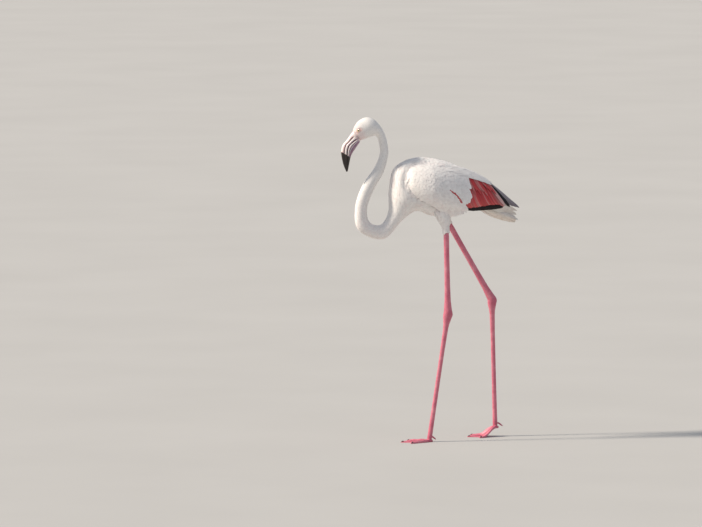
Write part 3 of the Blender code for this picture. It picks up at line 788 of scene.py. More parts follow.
def walked(place, u, v, length, angle, steps):
    """Paths over a ground from roots u, v, each row at its own angle."""
    path_u = np.repeat(u[:, None], len(steps), 1)
    path_v = np.repeat(v[:, None], len(steps), 1)
    for k in range(1, len(steps)):
        su, sv = stretch(place, path_u[:, k - 1], path_v[:, k - 1])
        step = length * (steps[k] - steps[k - 1])
        path_u[:, k] = path_u[:, k - 1] + step * np.cos(angle[:, k]) / su
        path_v[:, k] = path_v[:, k - 1] + step * np.sin(angle[:, k]) / sv
    return path_u, path_v


def handedness(place, u, v):
    """1 where u, v and outwards are right-handed on this ground, and otherwise -1."""
    h = SMALL_STEP
    along = place(u + h, v, 0.0) - place(u - h, v, 0.0)
    across = place(u, v + h, 0.0) - place(u, v - h, 0.0)
    out = place(u, v, 0.0) - place(u, v, h)
    return np.sign((np.cross(along, across) * out).sum())


def ground_normals(place, u, v, hand):
    """Outward directions of a ground."""
    h = SMALL_STEP
    return unit(hand * np.cross(place(u + h, v, 0.0) - place(u - h, v, 0.0),
                                place(u, v + h, 0.0) - place(u, v - h, 0.0)))


def vane_faces(n, r, c):
    """Quads, end caps, and the side that each quad faces, of n vanes of r rows and c
    columns. A vane's underside is one quad to a row."""
    first = np.arange(n)[:, None] * r * c
    top = [(a * c + b, (a + 1) * c + b, (a + 1) * c + b + 1, a * c + b + 1)
           for a in range(r - 1) for b in range(c - 1)]
    under = [(a * c, a * c + c - 1, (a + 1) * c + c - 1, (a + 1) * c)
             for a in range(r - 1)]
    quads = (first[:, :, None] + np.array(top + under)[None]).reshape(-1, 4)
    end_rows = np.array([np.arange(c), (r - 1) * c + np.arange(c)[::-1]])
    caps = (first[:, :, None] + end_rows[None]).reshape(-1, c)
    return quads, caps, np.tile([1.0] * len(top) + [-1.0] * len(under), n)


def vanes(place, u, v, length, width, aim, root_depth, tip_depth, outline, rng,
          columns=3, crest=0.0003, roll=0.0, bend=0.0, wash=0.0, soft=0.0, spots=None,
          ends=None):
    """Feathers on a ground, as point, face, value and baking map arrays.

    u, v are the roots and aim the angle of the lie from the ground's u direction.
    A feather leaves the skin at root_depth and comes level with the coat at its
    tip. roll tilts it so that neighbours overlap like tiles. soft shares the ground's
    own shading with the vanes, as downy edges do. With ends, the feathers run
    straight to those places instead of by length and aim.
    """
    n = len(u)
    if ends is not None:
        ends = [np.broadcast_to(np.asarray(a, float), n) for a in ends]
        aim = np.arctan2(ends[1] - v, ends[0] - u)
    length, width, aim, root_depth, tip_depth, crest, roll, bend, wash = (
        np.broadcast_to(np.asarray(a, float), n)
        for a in (length, width, aim, root_depth, tip_depth, crest, roll, bend, wash))
    steps, half = np.array(outline).T
    q = np.linspace(-1, 1, columns)
    angle = aim[:, None] + bend[:, None] * steps
    if ends is None:
        path_u, path_v = walked(place, u, v, length, angle, steps)
    else:
        path_u = u[:, None] + (ends[0] - u)[:, None] * steps
        path_v = v[:, None] + (ends[1] - v)[:, None] * steps
    su, sv = stretch(place, path_u, path_v)
    # Columns run the way that turns the vane's face outwards on this ground.
    hand = handedness(place, u, v)
    off = (hand * width / 2)[:, None, None] * half[None, :, None] * q
    grid_u = path_u[..., None] - off * (np.sin(angle) / su)[..., None]
    grid_v = path_v[..., None] + off * (np.cos(angle) / sv)[..., None]
    level = ((1 - steps) ** 2)[None, :, None]
    depth = tip_depth[:, None, None] + (root_depth - tip_depth)[:, None, None] * level
    depth = depth - crest[:, None, None] * (1 - q ** 2) * half[None, :, None]
    depth = depth + roll[:, None, None] * off * hand
    points = place(grid_u, grid_v, depth)
    own = unit(np.cross(np.gradient(points, axis=1), np.gradient(points, axis=2)))
    ground = ground_normals(place, grid_u, grid_v, hand)
    agree = np.clip((own * ground).sum(-1, keepdims=True) * 2 - 0.6, 0, 1)
    normals = own * (1 - soft * agree) + ground * soft * agree
    quads, caps, facing = vane_faces(n, len(steps), columns)
    full = np.ones((n, len(steps), columns))
    values = {
        "along": steps[None, :, None] * full,
        "across": q * full,
        "tone": rng.random(n)[:, None, None] * full,
        "wash": wash[:, None, None] * full,
    }
    spot_u, spot_v = spots if spots is not None else (np.full(n, 0.5), np.full(n, 0.5))
    uv = np.stack([spot_u[:, None, None] + PATCH * 0.45 * q * half[None, :, None],
                   spot_v[:, None, None] + PATCH * (steps - 0.5)[None, :, None] * (q * 0 + 1)],
                  axis=-1)
    return {"points": points.reshape(-1, 3), "quads": quads, "caps": caps,
            "facing": facing, "values": {k: a.reshape(-1) for k, a in values.items()},
            "normals": normals.reshape(-1, 3), "uv": uv.reshape(-1, 2)}


def feather_piece(name, batches, slot, material, *nodes):
    """Join batches of vanes into one piece."""
    shift, points, normals, quads, caps, uv = 0, [], [], [], {}, []
    values, facing = {}, []
    for batch in batches:
        points.append(batch["points"])
        normals.append(batch["normals"])
        quads.append(batch["quads"] + shift)
        facing.append(batch["facing"])
        caps.setdefault(batch["caps"].shape[1], []).append(batch["caps"] + shift)
        uv.append(batch["uv"])
        for key, value in batch["values"].items():
            values.setdefault(key, []).append(value)
        shift += len(batch["points"])
    faces = [np.concatenate(quads)] + [np.concatenate(c) for c in caps.values()]
    thing = mesh_object(name, np.concatenate(points), faces,
                        {k: np.concatenate(a) for k, a in values.items()},
                        np.concatenate(uv))
    # The underside's shading faces the other way, as the vane has no thickness there.
    corners = np.concatenate([f.ravel() for f in faces])
    sign = np.ones((len(corners), 1))
    sign[:faces[0].size, 0] = np.repeat(np.concatenate(facing), 4)
    normals = unit(np.concatenate(normals))[corners] * sign
    thing.data.normals_split_custom_set(normals.astype(np.float32))
    return show(thing, slot, material, *nodes)


def spots_of(u, v, u_range, v_range):
    """Places of feathers on the baking map, from their roots' places on the skin."""
    return (0.01 + 0.98 * (np.asarray(v) - v_range[0]) / (v_range[1] - v_range[0]),
            0.01 + 0.98 * (np.asarray(u) - u_range[0]) / (u_range[1] - u_range[0]))


def scatter(place, u_range, v_range, room, rng):
    """Evenly spread feather roots on a ground. room is the area that one takes up."""
    u, v = np.linspace(*u_range, 160), np.linspace(*v_range, 140)
    grid_u, grid_v = np.meshgrid(u, v, indexing="ij")
    su, sv = stretch(place, grid_u, grid_v)
    many = su * sv / room(grid_u, grid_v)
    across = np.cumsum((many[:, 1:] + many[:, :-1]) / 2, axis=1) * (v[1] - v[0])
    across = np.concatenate([np.zeros((len(u), 1)), across], axis=1)
    total = across[:, -1]
    along = np.concatenate([[0.0], np.cumsum((total[1:] + total[:-1]) / 2 * (u[1] - u[0]))])
    count = int(along[-1])
    k = np.arange(count) + 0.5 + rng.uniform(-0.2, 0.2, count)
    u_root = np.interp(k / count * along[-1], along, u)
    # Golden-section steps across the rows keep every stretch evenly filled.
    share = (np.arange(count) * EVEN_STEP + 0.17) % 1.0
    place_u = (u_root - u[0]) / (u[1] - u[0])
    i = np.minimum(place_u.astype(int), len(u) - 2)
    f = (place_u - i)[:, None]
    table = across[i] * (1 - f) + across[i + 1] * f
    wanted = share * table[:, -1]
    j = np.clip((table < wanted[:, None]).sum(1), 1, len(v) - 1)
    low, high = table[np.arange(count), j - 1], table[np.arange(count), j]
    v_root = v[j - 1] + (v[1] - v[0]) * (wanted - low) / np.maximum(high - low, 1e-12)
    return u_root, v_root


def near_eye(point):
    """Distance in side view from the eye, longer along the head, in metres."""
    x, z = point[..., 0] - EYE_PLACE[0] - 0.0012, point[..., 2] - EYE_PLACE[1] - 0.0006
    long_x, long_z = EYE_SLANT
    return np.hypot((x * long_x + z * long_z) * 0.80, -x * long_z + z * long_x)


def lores(point):
    """True on the bare skin between the eye and the bill."""
    x, z = point[..., 0] - EYE_PLACE[0], point[..., 2] - EYE_PLACE[1]
    way = np.array(LORES_WAY)
    share = np.clip((x * way[0] + z * way[1]) / (way @ way), 0.0, 1.0)
    off = np.hypot(x - share * way[0], z - share * way[1])
    return (off < 0.0038 + 0.0010 * share) & (np.abs(point[..., 1]) > 0.005)


def under_wing(point):
    """True where the folded wing hides a point of the trunk."""
    row = wing_row(point[..., 0])
    share = wing_share(row, point[..., 2])
    return ((point[..., 0] > -0.050) & (point[..., 0] < 0.17) & (np.abs(share) < 0.62)
            & (np.abs(point[..., 1]) > 0.030))


def body_feathers(first, last, seed, outline, columns):
    """A batch of the body's coat between two stations."""
    rng = np.random.default_rng(seed)
    u, v = scatter(body_ground, (first, last), (-math.pi, math.pi),
                   lambda a, b: coat_at(a, 3) * coat_at(a, 4), rng)
    point = body_ground(u, v, 0.0)
    kept = ~(((near_eye(point) < BARE_RING) | lores(point)) & (u < FACE_END)) \
        & ~(under_wing(point) & (u > WING_START))
    u, v = u[kept], v[kept]
    n = len(u)
    depth = coat_at(u, 1)
    length = coat_at(u, 2) * rng.uniform(0.88, 1.12, n)
    width = coat_at(u, 4) * OVERLAP * rng.uniform(0.88, 1.12, n)
    tips = depth * rng.uniform(-0.02, 0.04, n)
    flush = 0.3 * steady(12.5, 15.0, u) * steady(0.3, 1.0, rng.random(n)) \
        + 0.35 * steady(9.0, 12.0, u) * (1 - steady(12.0, 14.0, u)) * rng.random(n) \
        + 0.7 * (1 - steady(0.6, 2.0, u))
    return vanes(body_ground, u, v, length, width, rng.normal(0, 0.07, n), depth * 0.95,
                 tips, outline, rng, columns=columns, crest=0.00012 + depth * 0.02,
                 roll=0.04, bend=rng.normal(0, 0.06, n), wash=flush, soft=0.6,
                 spots=spots_of(u, v, (first, last), (-math.pi, math.pi)))


def coat_pieces(white):
    """Head, neck and trunk feathers."""
    feather_piece("head_feathers",
                  [body_feathers(0.06, HEAD_END, 11, FINE_VANE, 3)], "plumage", white)
    feather_piece("neck_feathers",
                  [body_feathers(HEAD_END, NECK_END, 12, FINE_VANE, 3)], "plumage", white)
    feather_piece("breast_feathers",
                  [body_feathers(NECK_END, BREAST_END, 13, ROUND_VANE, 5)],
                  "plumage", white)
    feather_piece("back_and_belly_feathers",
                  [body_feathers(BREAST_END, TRUNK_END + 0.15, 14, ROUND_VANE, 5)],
                  "plumage", white)


def thigh_feathers(white):
    """The short feathers of both upper legs, longest at the top."""
    for name, leg in LEGS.items():
        rng = np.random.default_rng(21 if name == "left" else 22)
        place, end = thigh_ground(leg)
        u, v = scatter(place, (0.004, end - 0.006), (-math.pi, math.pi),
                       lambda a, b: 1e-5 * np.interp(a / end, [0, 1], [3.2, 0.85]), rng)
        n, share = len(u), u / end
        deep = np.interp(share, [0, 0.6, 1], [0.009, 0.006, 0.0030])
        length = np.interp(share, [0, 0.7, 1], [0.034, 0.024, 0.0135])
        batch = vanes(place, u, v, length * rng.uniform(0.8, 1.15, n),
                      np.interp(share, [0, 1], [0.013, 0.0062]), rng.normal(0, 0.08, n),
                      deep, deep * rng.uniform(-0.04, 0.08, n), ROUND_VANE, rng,
                      columns=3, crest=0.0003, wash=0.25 * rng.random(n), soft=0.5,
                      spots=spots_of(u, v, (0, end), (-math.pi, math.pi)))
        feather_piece(name + "_thigh_feathers", [batch], "plumage", white)


# ---------------------------------------------------------------- wings

# Upper edge of the black bar in side view, x and z.
BAR_TOP = ((0.095, 0.6870), (0.121, 0.6875), (0.153, 0.6915), (0.186, 0.6945),
           (0.203, 0.6925), (0.2125, 0.6875))
# Ends of the black vanes along it, x and z.
BAR_ENDS = ((0.128, 0.6815), (0.186, 0.6835), (0.2125, 0.6868))
# Where the white coverts end over the coral ones, x and z.
COVERT_BORDER = ((0.084, 0.680), (0.090, 0.690), (0.1055, 0.7025), (0.1145, 0.720),
                 (0.112, 0.741), (0.106, 0.760), (0.097, 0.772), (0.078, 0.788))
# Ends of the flank feathers under the wing, x and z.
FLANK_ENDS = ((-0.062, 0.734), (-0.045, 0.7195), (-0.018, 0.7005), (0.002, 0.686),
              (0.018, 0.674), (0.035, 0.662), (0.055, 0.662), (0.075, 0.671),
              (0.092, 0.683))
# Where the white plumes end over the coral coverts, x and z.
PLUME_BORDER = ((0.060, 0.800), (0.088, 0.785), (0.1155, 0.768), (0.1422, 0.765),
                (0.160, 0.758), (0.170, 0.765), (0.190, 0.752))
# A line of small red coverts between two tracts of white ones, x and z.
RED_LINE = ((0.036, 0.743), (0.046, 0.737), (0.056, 0.729), (0.065, 0.718), (0.076, 0.703))
# Rear feathers of the folded wing, inner one first: root x, z, tip x, z, width,
# depth under the wing's outside, material, and share of its paler colours.
REAR_FEATHERS = (
    (0.178, 0.752, 0.2610, 0.6830, 0.0100, 0.0046, "black", 0.0),
    (0.160, 0.768, 0.2580, 0.6840, 0.0150, 0.0042, "black", 1.0),
    (0.166, 0.764, 0.2660, 0.6815, 0.0120, 0.0036, "black", 0.9),
    (0.156, 0.768, 0.2460, 0.6870, 0.0140, 0.0034, "black", 0.85),
    (0.166, 0.764, 0.2335, 0.6860, 0.0120, 0.0026, "black", 0.0),
    (0.162, 0.764, 0.2180, 0.6890, 0.0100, 0.0014, "coral", 1.0),
)


WING_BOX = ((-0.10, 0.28), (0.66, 0.84))     # x and z that the baking map spans
NO_ROOM = 1e3                                # square metres, so no feather roots there


def at_x(line, x):
    """Second value of a line at x, such as its height."""
    line = np.array(line)
    return np.interp(x, line[:, 0], line[:, 1])


def covert_aim(x, z):
    """How far below level the feathers of the folded wing point, in radians."""
    down = np.interp(x, [-0.08, -0.03, 0.03, 0.08, 0.13, 0.2], [28, 36, 47, 58, 62, 56])
    high = wing_share(wing_row(x), z)
    return -np.radians(down - 16 * np.clip(high, -1, 1) * (x < 0.1))


class Wing:
    """One folded wing to lay feathers on, with that wing's own random draws."""

    def __init__(self, side, seed):
        self.place = wing_ground(side)
        self.rng = np.random.default_rng(seed)

    def lay(self, x, z, length, width, aim, root, tip, outline, **more):
        """Feathers from their roots, by length and lie."""
        x, z = np.asarray(x, float), np.asarray(z, float)
        return vanes(self.place, x, z, length, width, aim, root, tip, outline, self.rng,
                     spots=spots_of(x, z, *WING_BOX), **more)

    def lay_to(self, x, z, end_x, end_z, width, root, tip, outline, **more):
        """Feathers from their roots straight to their tips."""
        return self.lay(x, z, 0, width, 0, root, tip, outline, ends=(end_x, end_z), **more)


def secondaries(wing):
    """Long black vanes along the lower edge, showing as a bar."""
    count = 9
    tip_x = np.linspace(BAR_ENDS[0][0], BAR_ENDS[-1][0], count)
    return wing.lay_to(tip_x - 0.062, np.full(count, 0.6900), tip_x,
                       at_x(BAR_ENDS, tip_x), 0.0130, 0.0085,
                       np.linspace(0.0034, 0.0046, count), LONG_QUILL, columns=5)


def rear_feathers(wing):
    """The long feathers at the wing's rear, as black ones and coral ones."""
    batches = {"black": [], "coral": []}
    for x0, z0, x1, z1, width, deep, kind, wash in REAR_FEATHERS:
        batches[kind].append(wing.lay_to([x0], [z0], x1, z1, width, deep + 0.0006, deep,
                                         LONG_QUILL, columns=7, wash=wash, crest=0.0001))
    return batches["black"], batches["coral"]


def fan_roots(tip_x, tip_z, length, down):
    """Roots of a fan of vanes from their tips, kept below the wing's upper edge."""
    root_x = tip_x - length * np.cos(down)
    root_z = np.minimum(tip_z + length * np.sin(down), wing_row(root_x)[:, 2] - 0.008)
    return root_x, root_z


def greater_coverts(wing):
    """A fan of narrow coral vanes that ends over the black bar."""
    rng, count = wing.rng, 25
    share = np.linspace(0, 1, count)
    tip_x = 0.092 + 0.1205 * share
    tip_z = at_x(BAR_TOP, tip_x) + rng.uniform(-0.0012, 0.0008, count)
    down = np.radians(75 - 15 * share) + rng.normal(0, 0.012, count)
    root_x, root_z = fan_roots(tip_x, tip_z, 0.098 - 0.010 * share, down)
    return wing.lay_to(root_x, root_z, tip_x, tip_z, 0.0135, 0.0066,
                       np.linspace(0.0022, 0.0032, count), LONG_QUILL, columns=5,
                       roll=0.10, crest=0.0001,
                       wash=rng.choice([0.0, 0.0, 0.12, 0.30], count)
                       + 0.25 * steady(0.85, 1.0, share))


def median_coverts(wing):
    """Coral vanes over the greater coverts, with ragged tips at mid height."""
    rng, count = wing.rng, 21
    share = np.linspace(0, 1, count)
    tip_x = 0.094 + 0.098 * share + rng.uniform(-0.002, 0.002, count)
    tip_z = 0.731 + rng.uniform(-0.009, 0.011, count) - 0.006 * (1 - share)
    down = np.radians(73 - 15 * share) + rng.normal(0, 0.04, count)
    root_x, root_z = fan_roots(tip_x, tip_z, 0.062, down)
    return wing.lay_to(root_x, root_z, tip_x, tip_z, 0.0105, 0.0034, 0.0010, LONG_PLUME,
                       columns=5, roll=0.12, crest=0.0001,
                       wash=rng.choice([0.0, 0.0, 0.15, 0.40], count))


def red_line(wing):
    """Small red coverts, half under the white ones on each side of them."""
    rng, many = wing.rng, 26
    t = np.linspace(0, len(RED_LINE) - 1.6, many)
    root, tip = curve(RED_LINE, t), curve(RED_LINE, t + 0.75)
    return wing.lay_to(root[:, 0] + rng.uniform(-0.0016, 0.0016, many),
                       root[:, 1] + rng.uniform(-0.0016, 0.0016, many),
                       tip[:, 0] + rng.uniform(-0.0014, 0.0014, many),
                       tip[:, 1] + rng.uniform(-0.0014, 0.0014, many),
                       np.linspace(0.0036, 0.0058, many), 0.0020,
                       rng.uniform(-0.0011, -0.0001, many), PLUME, columns=3,
                       wash=rng.choice([0.0, 0.0, 0.3], many))


def covert_room(x, z):
    """Area that one white covert takes up. Off the wing it is too large for any."""
    row = wing_row(x)
    inside = (z > row[..., 4] - 0.002) & (z < row[..., 2] + 0.008)
    size = np.interp(x, [-0.08, 0.0, 0.1], [0.0040, 0.0056, 0.0064]) ** 2
    return np.where(inside, size, NO_ROOM)


def white_coverts(wing):
    """White coverts from the wrist to the coral panel."""
    rng = wing.rng
    x, z = scatter(wing.place, (-0.0875, 0.106), (0.675, 0.828), covert_room, rng)
    length = np.interp(x, [-0.087, -0.078, -0.03, 0.03, 0.1],
                       [0.012, 0.017, 0.026, 0.036, 0.046]) \
        * rng.uniform(0.85, 1.12, len(x))
    aim = covert_aim(x, z) + rng.normal(0, 0.07, len(x))
    tip_x = x + length * np.cos(aim)
    tip_z = z + length * np.sin(aim)
    border = np.array(COVERT_BORDER)
    kept = (tip_x < np.interp(tip_z, border[:, 1], border[:, 0])
            + rng.uniform(-0.003, 0.003, len(x))) \
        & (tip_z > wing_row(tip_x)[:, 4] - 0.006)
    x, z, length, aim = x[kept], z[kept], length[kept], aim[kept]
    n = len(x)
    width = np.interp(x, [-0.088, -0.078, 0.1], [0.0080, 0.0105, 0.0160])
    root = np.interp(x, [-0.088, -0.076, 0.0, 0.1], [0.0035, 0.0065, 0.008, 0.006])
    return wing.lay(x, z, length, width, aim, root, rng.uniform(-0.0002, 0.0004, n),
                    ROUND_VANE, columns=5, bend=rng.normal(0, 0.06, n),
                    wash=0.18 * rng.random(n), soft=0.55)


def flank_room(x, z):
    """Area that one flank feather takes up, in the band over the feathers' ends."""
    above = z - at_x(FLANK_ENDS, x)
    return np.where((above > 0.012) & (above < 0.040), 2.6e-5, NO_ROOM)


def flank_feathers(wing):
    """Feathers that hang over the wing's lower edge on to the thigh."""
    rng = wing.rng
    x, z = scatter(wing.place, (-0.060, 0.074), (0.670, 0.760), flank_room, rng)
    n = len(x)
    down = np.radians(np.interp(x, [-0.06, -0.02, 0.035, 0.07], [38, 46, 72, 48])) \
        + rng.normal(0, 0.05, n)
    drop = z - at_x(FLANK_ENDS, x + 0.02 * np.cos(down)) + rng.uniform(-0.003, 0.001, n)
    length = np.clip(drop / np.sin(down), 0.012, 0.046)
    return wing.lay_to(x, z, x + length * np.cos(down), z - length * np.sin(down), 0.0120,
                       0.004, rng.uniform(-0.0006, 0.0002, n), ROUND_VANE, columns=5,
                       wash=0.3 * rng.random(n), soft=0.5)


def shoulder_plumes(wing):
    """Long plumes from the shoulder over the top of the wing."""
    rng, many = wing.rng, 96
    x = 0.128 * ((np.arange(many) * EVEN_STEP) % 1.0)
    z = wing_row(x)[:, 2] + np.linspace(-0.016, 0.0, many)
    length = np.interp(x, [0.0, 0.03, 0.12], [0.062, 0.078, 0.070]) \
        * rng.uniform(0.8, 1.10, many)
    down = np.radians(np.interp(x, [0.0, 0.03, 0.05, 0.07, 0.09, 0.13],
                                [8, 14, 20, 23, 27, 38]) + rng.normal(0, 2.5, many))
    tip_x, tip_z = x + length * np.cos(down), z - length * np.sin(down)
    tip_z = np.where(tip_x > 0.06, np.maximum(
        tip_z, at_x(PLUME_BORDER, tip_x) + rng.uniform(-0.002, 0.003, many)), tip_z)
    return wing.lay_to(x, z, tip_x, tip_z, rng.uniform(0.009, 0.014, many), 0.0045,
                       rng.uniform(-0.0010, 0.0004, many), PLUME, columns=5,
                       wash=0.15 * rng.random(many), soft=0.5)


def top_edge(wing):
    """A last row along the top edge, which closes the back over the coral roots."""
    many = 16
    x = np.linspace(0.094, 0.138, many)
    z = wing_row(x)[:, 2] + 0.001 - 0.006 * (np.arange(many) % 3)
    return wing.lay_to(x, z, np.linspace(0.160, 0.182, many),
                       np.linspace(0.774, 0.756, many) - 0.003 * (np.arange(many) % 3),
                       0.0130, 0.004, -0.0006, PLUME, columns=5, wash=0.1, soft=0.5)


def pale_coverts(wing):
    """Pale coverts that fill in between the wing's tip and the tail."""
    rng, many = wing.rng, 26
    tip_x = rng.uniform(0.215, 0.262, many)
    tip_z = np.interp(tip_x, [0.215, 0.262], [0.676, 0.664]) \
        + np.linspace(-0.008, 0.008, many)
    length = rng.uniform(0.060, 0.085, many)
    return wing.lay_to(tip_x - length * 0.93, tip_z + length * 0.36, tip_x, tip_z, 0.0135,
                       0.0100, np.linspace(0.0075, 0.0050, many), PLUME, columns=5,
                       wash=0.5 * rng.random(many), soft=0.4)


def wing_pieces(white, coral, black, pale):
    """Each folded wing: flight feathers, coral coverts, white coverts and plumes."""
    for seed, (name, side) in enumerate(SIDES.items(), 31):
        wing = Wing(side, seed)
        bar = secondaries(wing)
        rear_black, rear_coral = rear_feathers(wing)
        feather_piece(name + "_flight_quills", [bar] + rear_black, "black_feathers", black,
                      name + "_flight_feathers")
        panel = [greater_coverts(wing), median_coverts(wing)]
        feather_piece(name + "_coral_feathers", panel + rear_coral, "coral_feathers", coral,
                      name + "_coral_coverts")
        feather_piece(name + "_red_line", [red_line(wing)], "coral_feathers", coral)
        cover = [white_coverts(wing), flank_feathers(wing), shoulder_plumes(wing),
                 top_edge(wing)]
        feather_piece(name + "_white_coverts", cover, "plumage", white, name + "_wing")
        feather_piece(name + "_tail_coverts", [pale_coverts(wing)], "tail_feathers", pale)


def tail_pieces(pale):
    """Tail: a fan of quills inside soft coverts all round."""
    rng = np.random.default_rng(41)
    count = 14
    share = np.linspace(-1, 1, count)
    quills = vanes(fan_ground, np.full(count, 0.150), share * 0.016, 0, 0.0200, 0, 0.002,
                   0.0006 * np.arange(count) % 0.0012, QUILL, rng, columns=7, roll=0.06,
                   ends=(0.2650 - 0.006 * share ** 2, share * 0.031), soft=0.3,
                   spots=spots_of(np.full(count, 0.15), share, (0.14, 0.27), (-1.2, 1.2)))
    many = 420
    x = 0.138 + 0.072 * ((np.arange(many) * EVEN_STEPS[0]) % 1.0)
    turn = -math.pi + 2 * math.pi * ((np.arange(many) * EVEN_STEPS[1]) % 1.0)
    length = np.interp(x, [0.138, 0.21], [0.074, 0.052]) * rng.uniform(0.72, 1.0, many)
    coverts = vanes(tail_ground, x, turn, length, 0.0125, rng.normal(0, 0.05, many), 0.0075,
                    rng.uniform(-0.0004, 0.0012, many), QUILL, rng, columns=5,
                    wash=0.5 * rng.random(many), soft=0.6,
                    spots=spots_of(x, turn, (0.12, 0.28), (-math.pi, math.pi)))
    feather_piece("tail_feathers", [quills, coverts], "tail_feathers", pale, "tail")


def saddle_plumes(white):
    """Plumes along the back that close the gap between the two wings."""
    rng = np.random.default_rng(51)
    many = 150
    x = 0.020 + 0.112 * ((np.arange(many) * EVEN_STEPS[0]) % 1.0)
    y = wing_row(x)[:, 1] * 0.95 * (2 * ((np.arange(many) * EVEN_STEPS[1]) % 1.0) - 1)
    batch = vanes(saddle_ground, x, y, rng.uniform(0.048, 0.066, many), 0.0130,
                  -y * 4.0 + rng.normal(0, 0.06, many), 0.0050,
                  rng.uniform(-0.0004, 0.0010, many), PLUME, rng, columns=5,
                  wash=0.15 * rng.random(many), soft=0.5,
                  spots=spots_of(x, y, (0.0, 0.20), (-0.045, 0.045)))
    feather_piece("saddle_plumes", [batch], "plumage", white)


# ---------------------------------------------------------------- skin

def leg_tube(leg):
    """Skin of one leg from hip to toe joint, with scutes down its front."""
    distance, line, marks = leg_line(leg)
    u = np.concatenate([np.linspace(0.0, marks[1], 20)[:-1],
                        np.arange(marks[1], marks[3], 0.0007), [marks[3]]])
    sides = 24
    turn = turns(sides)
    shank, tarsus = marks[2] - marks[1], marks[3] - marks[2]
    table = [(s * marks[1], r, r) for s, r in THIGH_SKIN]
    table += [(marks[1] + s * shank, a, b) for s, a, b in SHANK]
    table += [(marks[2] + s * tarsus, a, b) for s, a, b in TARSUS]
    table = np.array(table)
    stations = np.interp(u, table[:, 0], np.arange(len(table)))
    rows = curve(table[:, 1:], stations)
    point, fore, across = leg_axes(distance, line, u)
    cos, sin = np.cos(turn)[None, :], np.sin(turn)[None, :]
    scute = np.abs(((u[:, None] + 0.0006 * cos) / SCUTE) % 1.0 - 0.5) * 2
    crease = -0.00032 * steady(0.80, 1.0, scute) * steady(0.1, 0.6, cos) \
        * steady(marks[1], marks[1] + 0.02, u)[:, None]
    near = (u - marks[2])[:, None]
    # The ankle: a knuckle on each side, a heel behind and folds in front.
    heel = 0.0020 * np.exp(-((near - 0.004) / 0.0075) ** 2) * steady(0.2, 1.0, -cos)
    knuckle = 0.0011 * np.exp(-((near + 0.003) / 0.006) ** 2) * sin ** 4
    wave = 0.5 + 0.5 * np.cos(near / ANKLE_FOLD * 2 * math.pi)
    folds = -0.0005 * np.exp(-(near / 0.012) ** 2) * wave * steady(0.0, 0.7, cos)
    extra = crease + heel + knuckle + folds
    points = point[:, None] + fore[:, None] * ((rows[:, :1] + extra) * cos)[..., None] \
        + across[:, None] * ((rows[:, 1:2] + extra) * sin)[..., None]
    return points.reshape(-1, 3), tube_faces(len(u), sides)


def toe_column(index, v, sideways):
    """Points across a toe's outline, v from its root to its claw, in the foot's plane."""
    angle, length = TOES[index]
    swell = np.minimum(1.0, 0.62 + 2.2 * v) * (1 + 0.07 * np.cos(v * 2 * math.pi * KNUCKLES))
    narrow = 1.0 - 0.30 * v - 0.50 * np.maximum(0.0, v - 0.86) / 0.14
    ahead = np.array([math.cos(angle), math.sin(angle)])
    across = np.array([-ahead[1], ahead[0]])
    root = np.array([0.0, (1 - index) * TOE_SPACING])
    return (root + ahead * (length * v)[:, None]
            + across * (sideways * TOE_HALF_WIDTH * swell * narrow)[:, None])


def foot_grid():
    """Plan points, and heights of a foot's top and sole, in rows from heel to claws."""
    v = np.concatenate([np.linspace(0, 0.3, 22)[:-1], np.linspace(0.3, 1.0, 72)])
    crest = TOE_HEIGHT * (1.0 - 0.45 * v - 0.30 * np.maximum(0.0, v - 0.86) / 0.14)
    crest = crest * (1 + 0.07 * np.cos(v * 2 * math.pi * KNUCKLES))
    edge = np.maximum(WEB_THICKNESS, 0.34 * crest)
    plan, height = [], []
    for index in range(len(TOES)):
        length = TOES[index][1]
        scute = np.abs((v * length / TOE_SCUTE) % 1.0 - 0.5) * 2
        if index:
            before, after = toe_column(index - 1, v, -1), toe_column(index, v, 1)
            for m in WEB_STEPS:
                drawn_in = 1 - WEB_SCALLOP * math.sin(math.pi * m) * v ** 2
                plan.append((before * (1 - m) + after * m) * drawn_in[:, None])
                fold = 0.00035 * np.sin(v * 24 + m * 9) * math.sin(math.pi * m)
                height.append(WEB_THICKNESS + np.maximum(fold, -0.0002)
                              + (edge - WEB_THICKNESS) * abs(2 * m - 1) ** 5)
        for q in TOE_STEPS:
            plan.append(toe_column(index, v, q))
            round_over = math.sqrt(1 - q * q)
            height.append(edge + (crest - edge) * round_over
                          - 0.00022 * steady(0.7, 1.0, scute) * round_over)
    plan, height = np.stack(plan, 1), np.stack(height, 1)
    heel_plan, heel_height, heel_sole = [], [], []
    for back, shrink, tall, sole in reversed(HEEL_ROWS):
        row = plan[0].copy()
        row[:, 0] = -PAD_REACH * back
        row[:, 1] *= shrink
        heel_plan.append(row)
        heel_height.append(np.full(len(row), tall))
        heel_sole.append(np.full(len(row), sole))
    return (np.concatenate([np.array(heel_plan), plan]),
            np.concatenate([np.array(heel_height), height]),
            np.concatenate([np.array(heel_sole), 0 * height]))


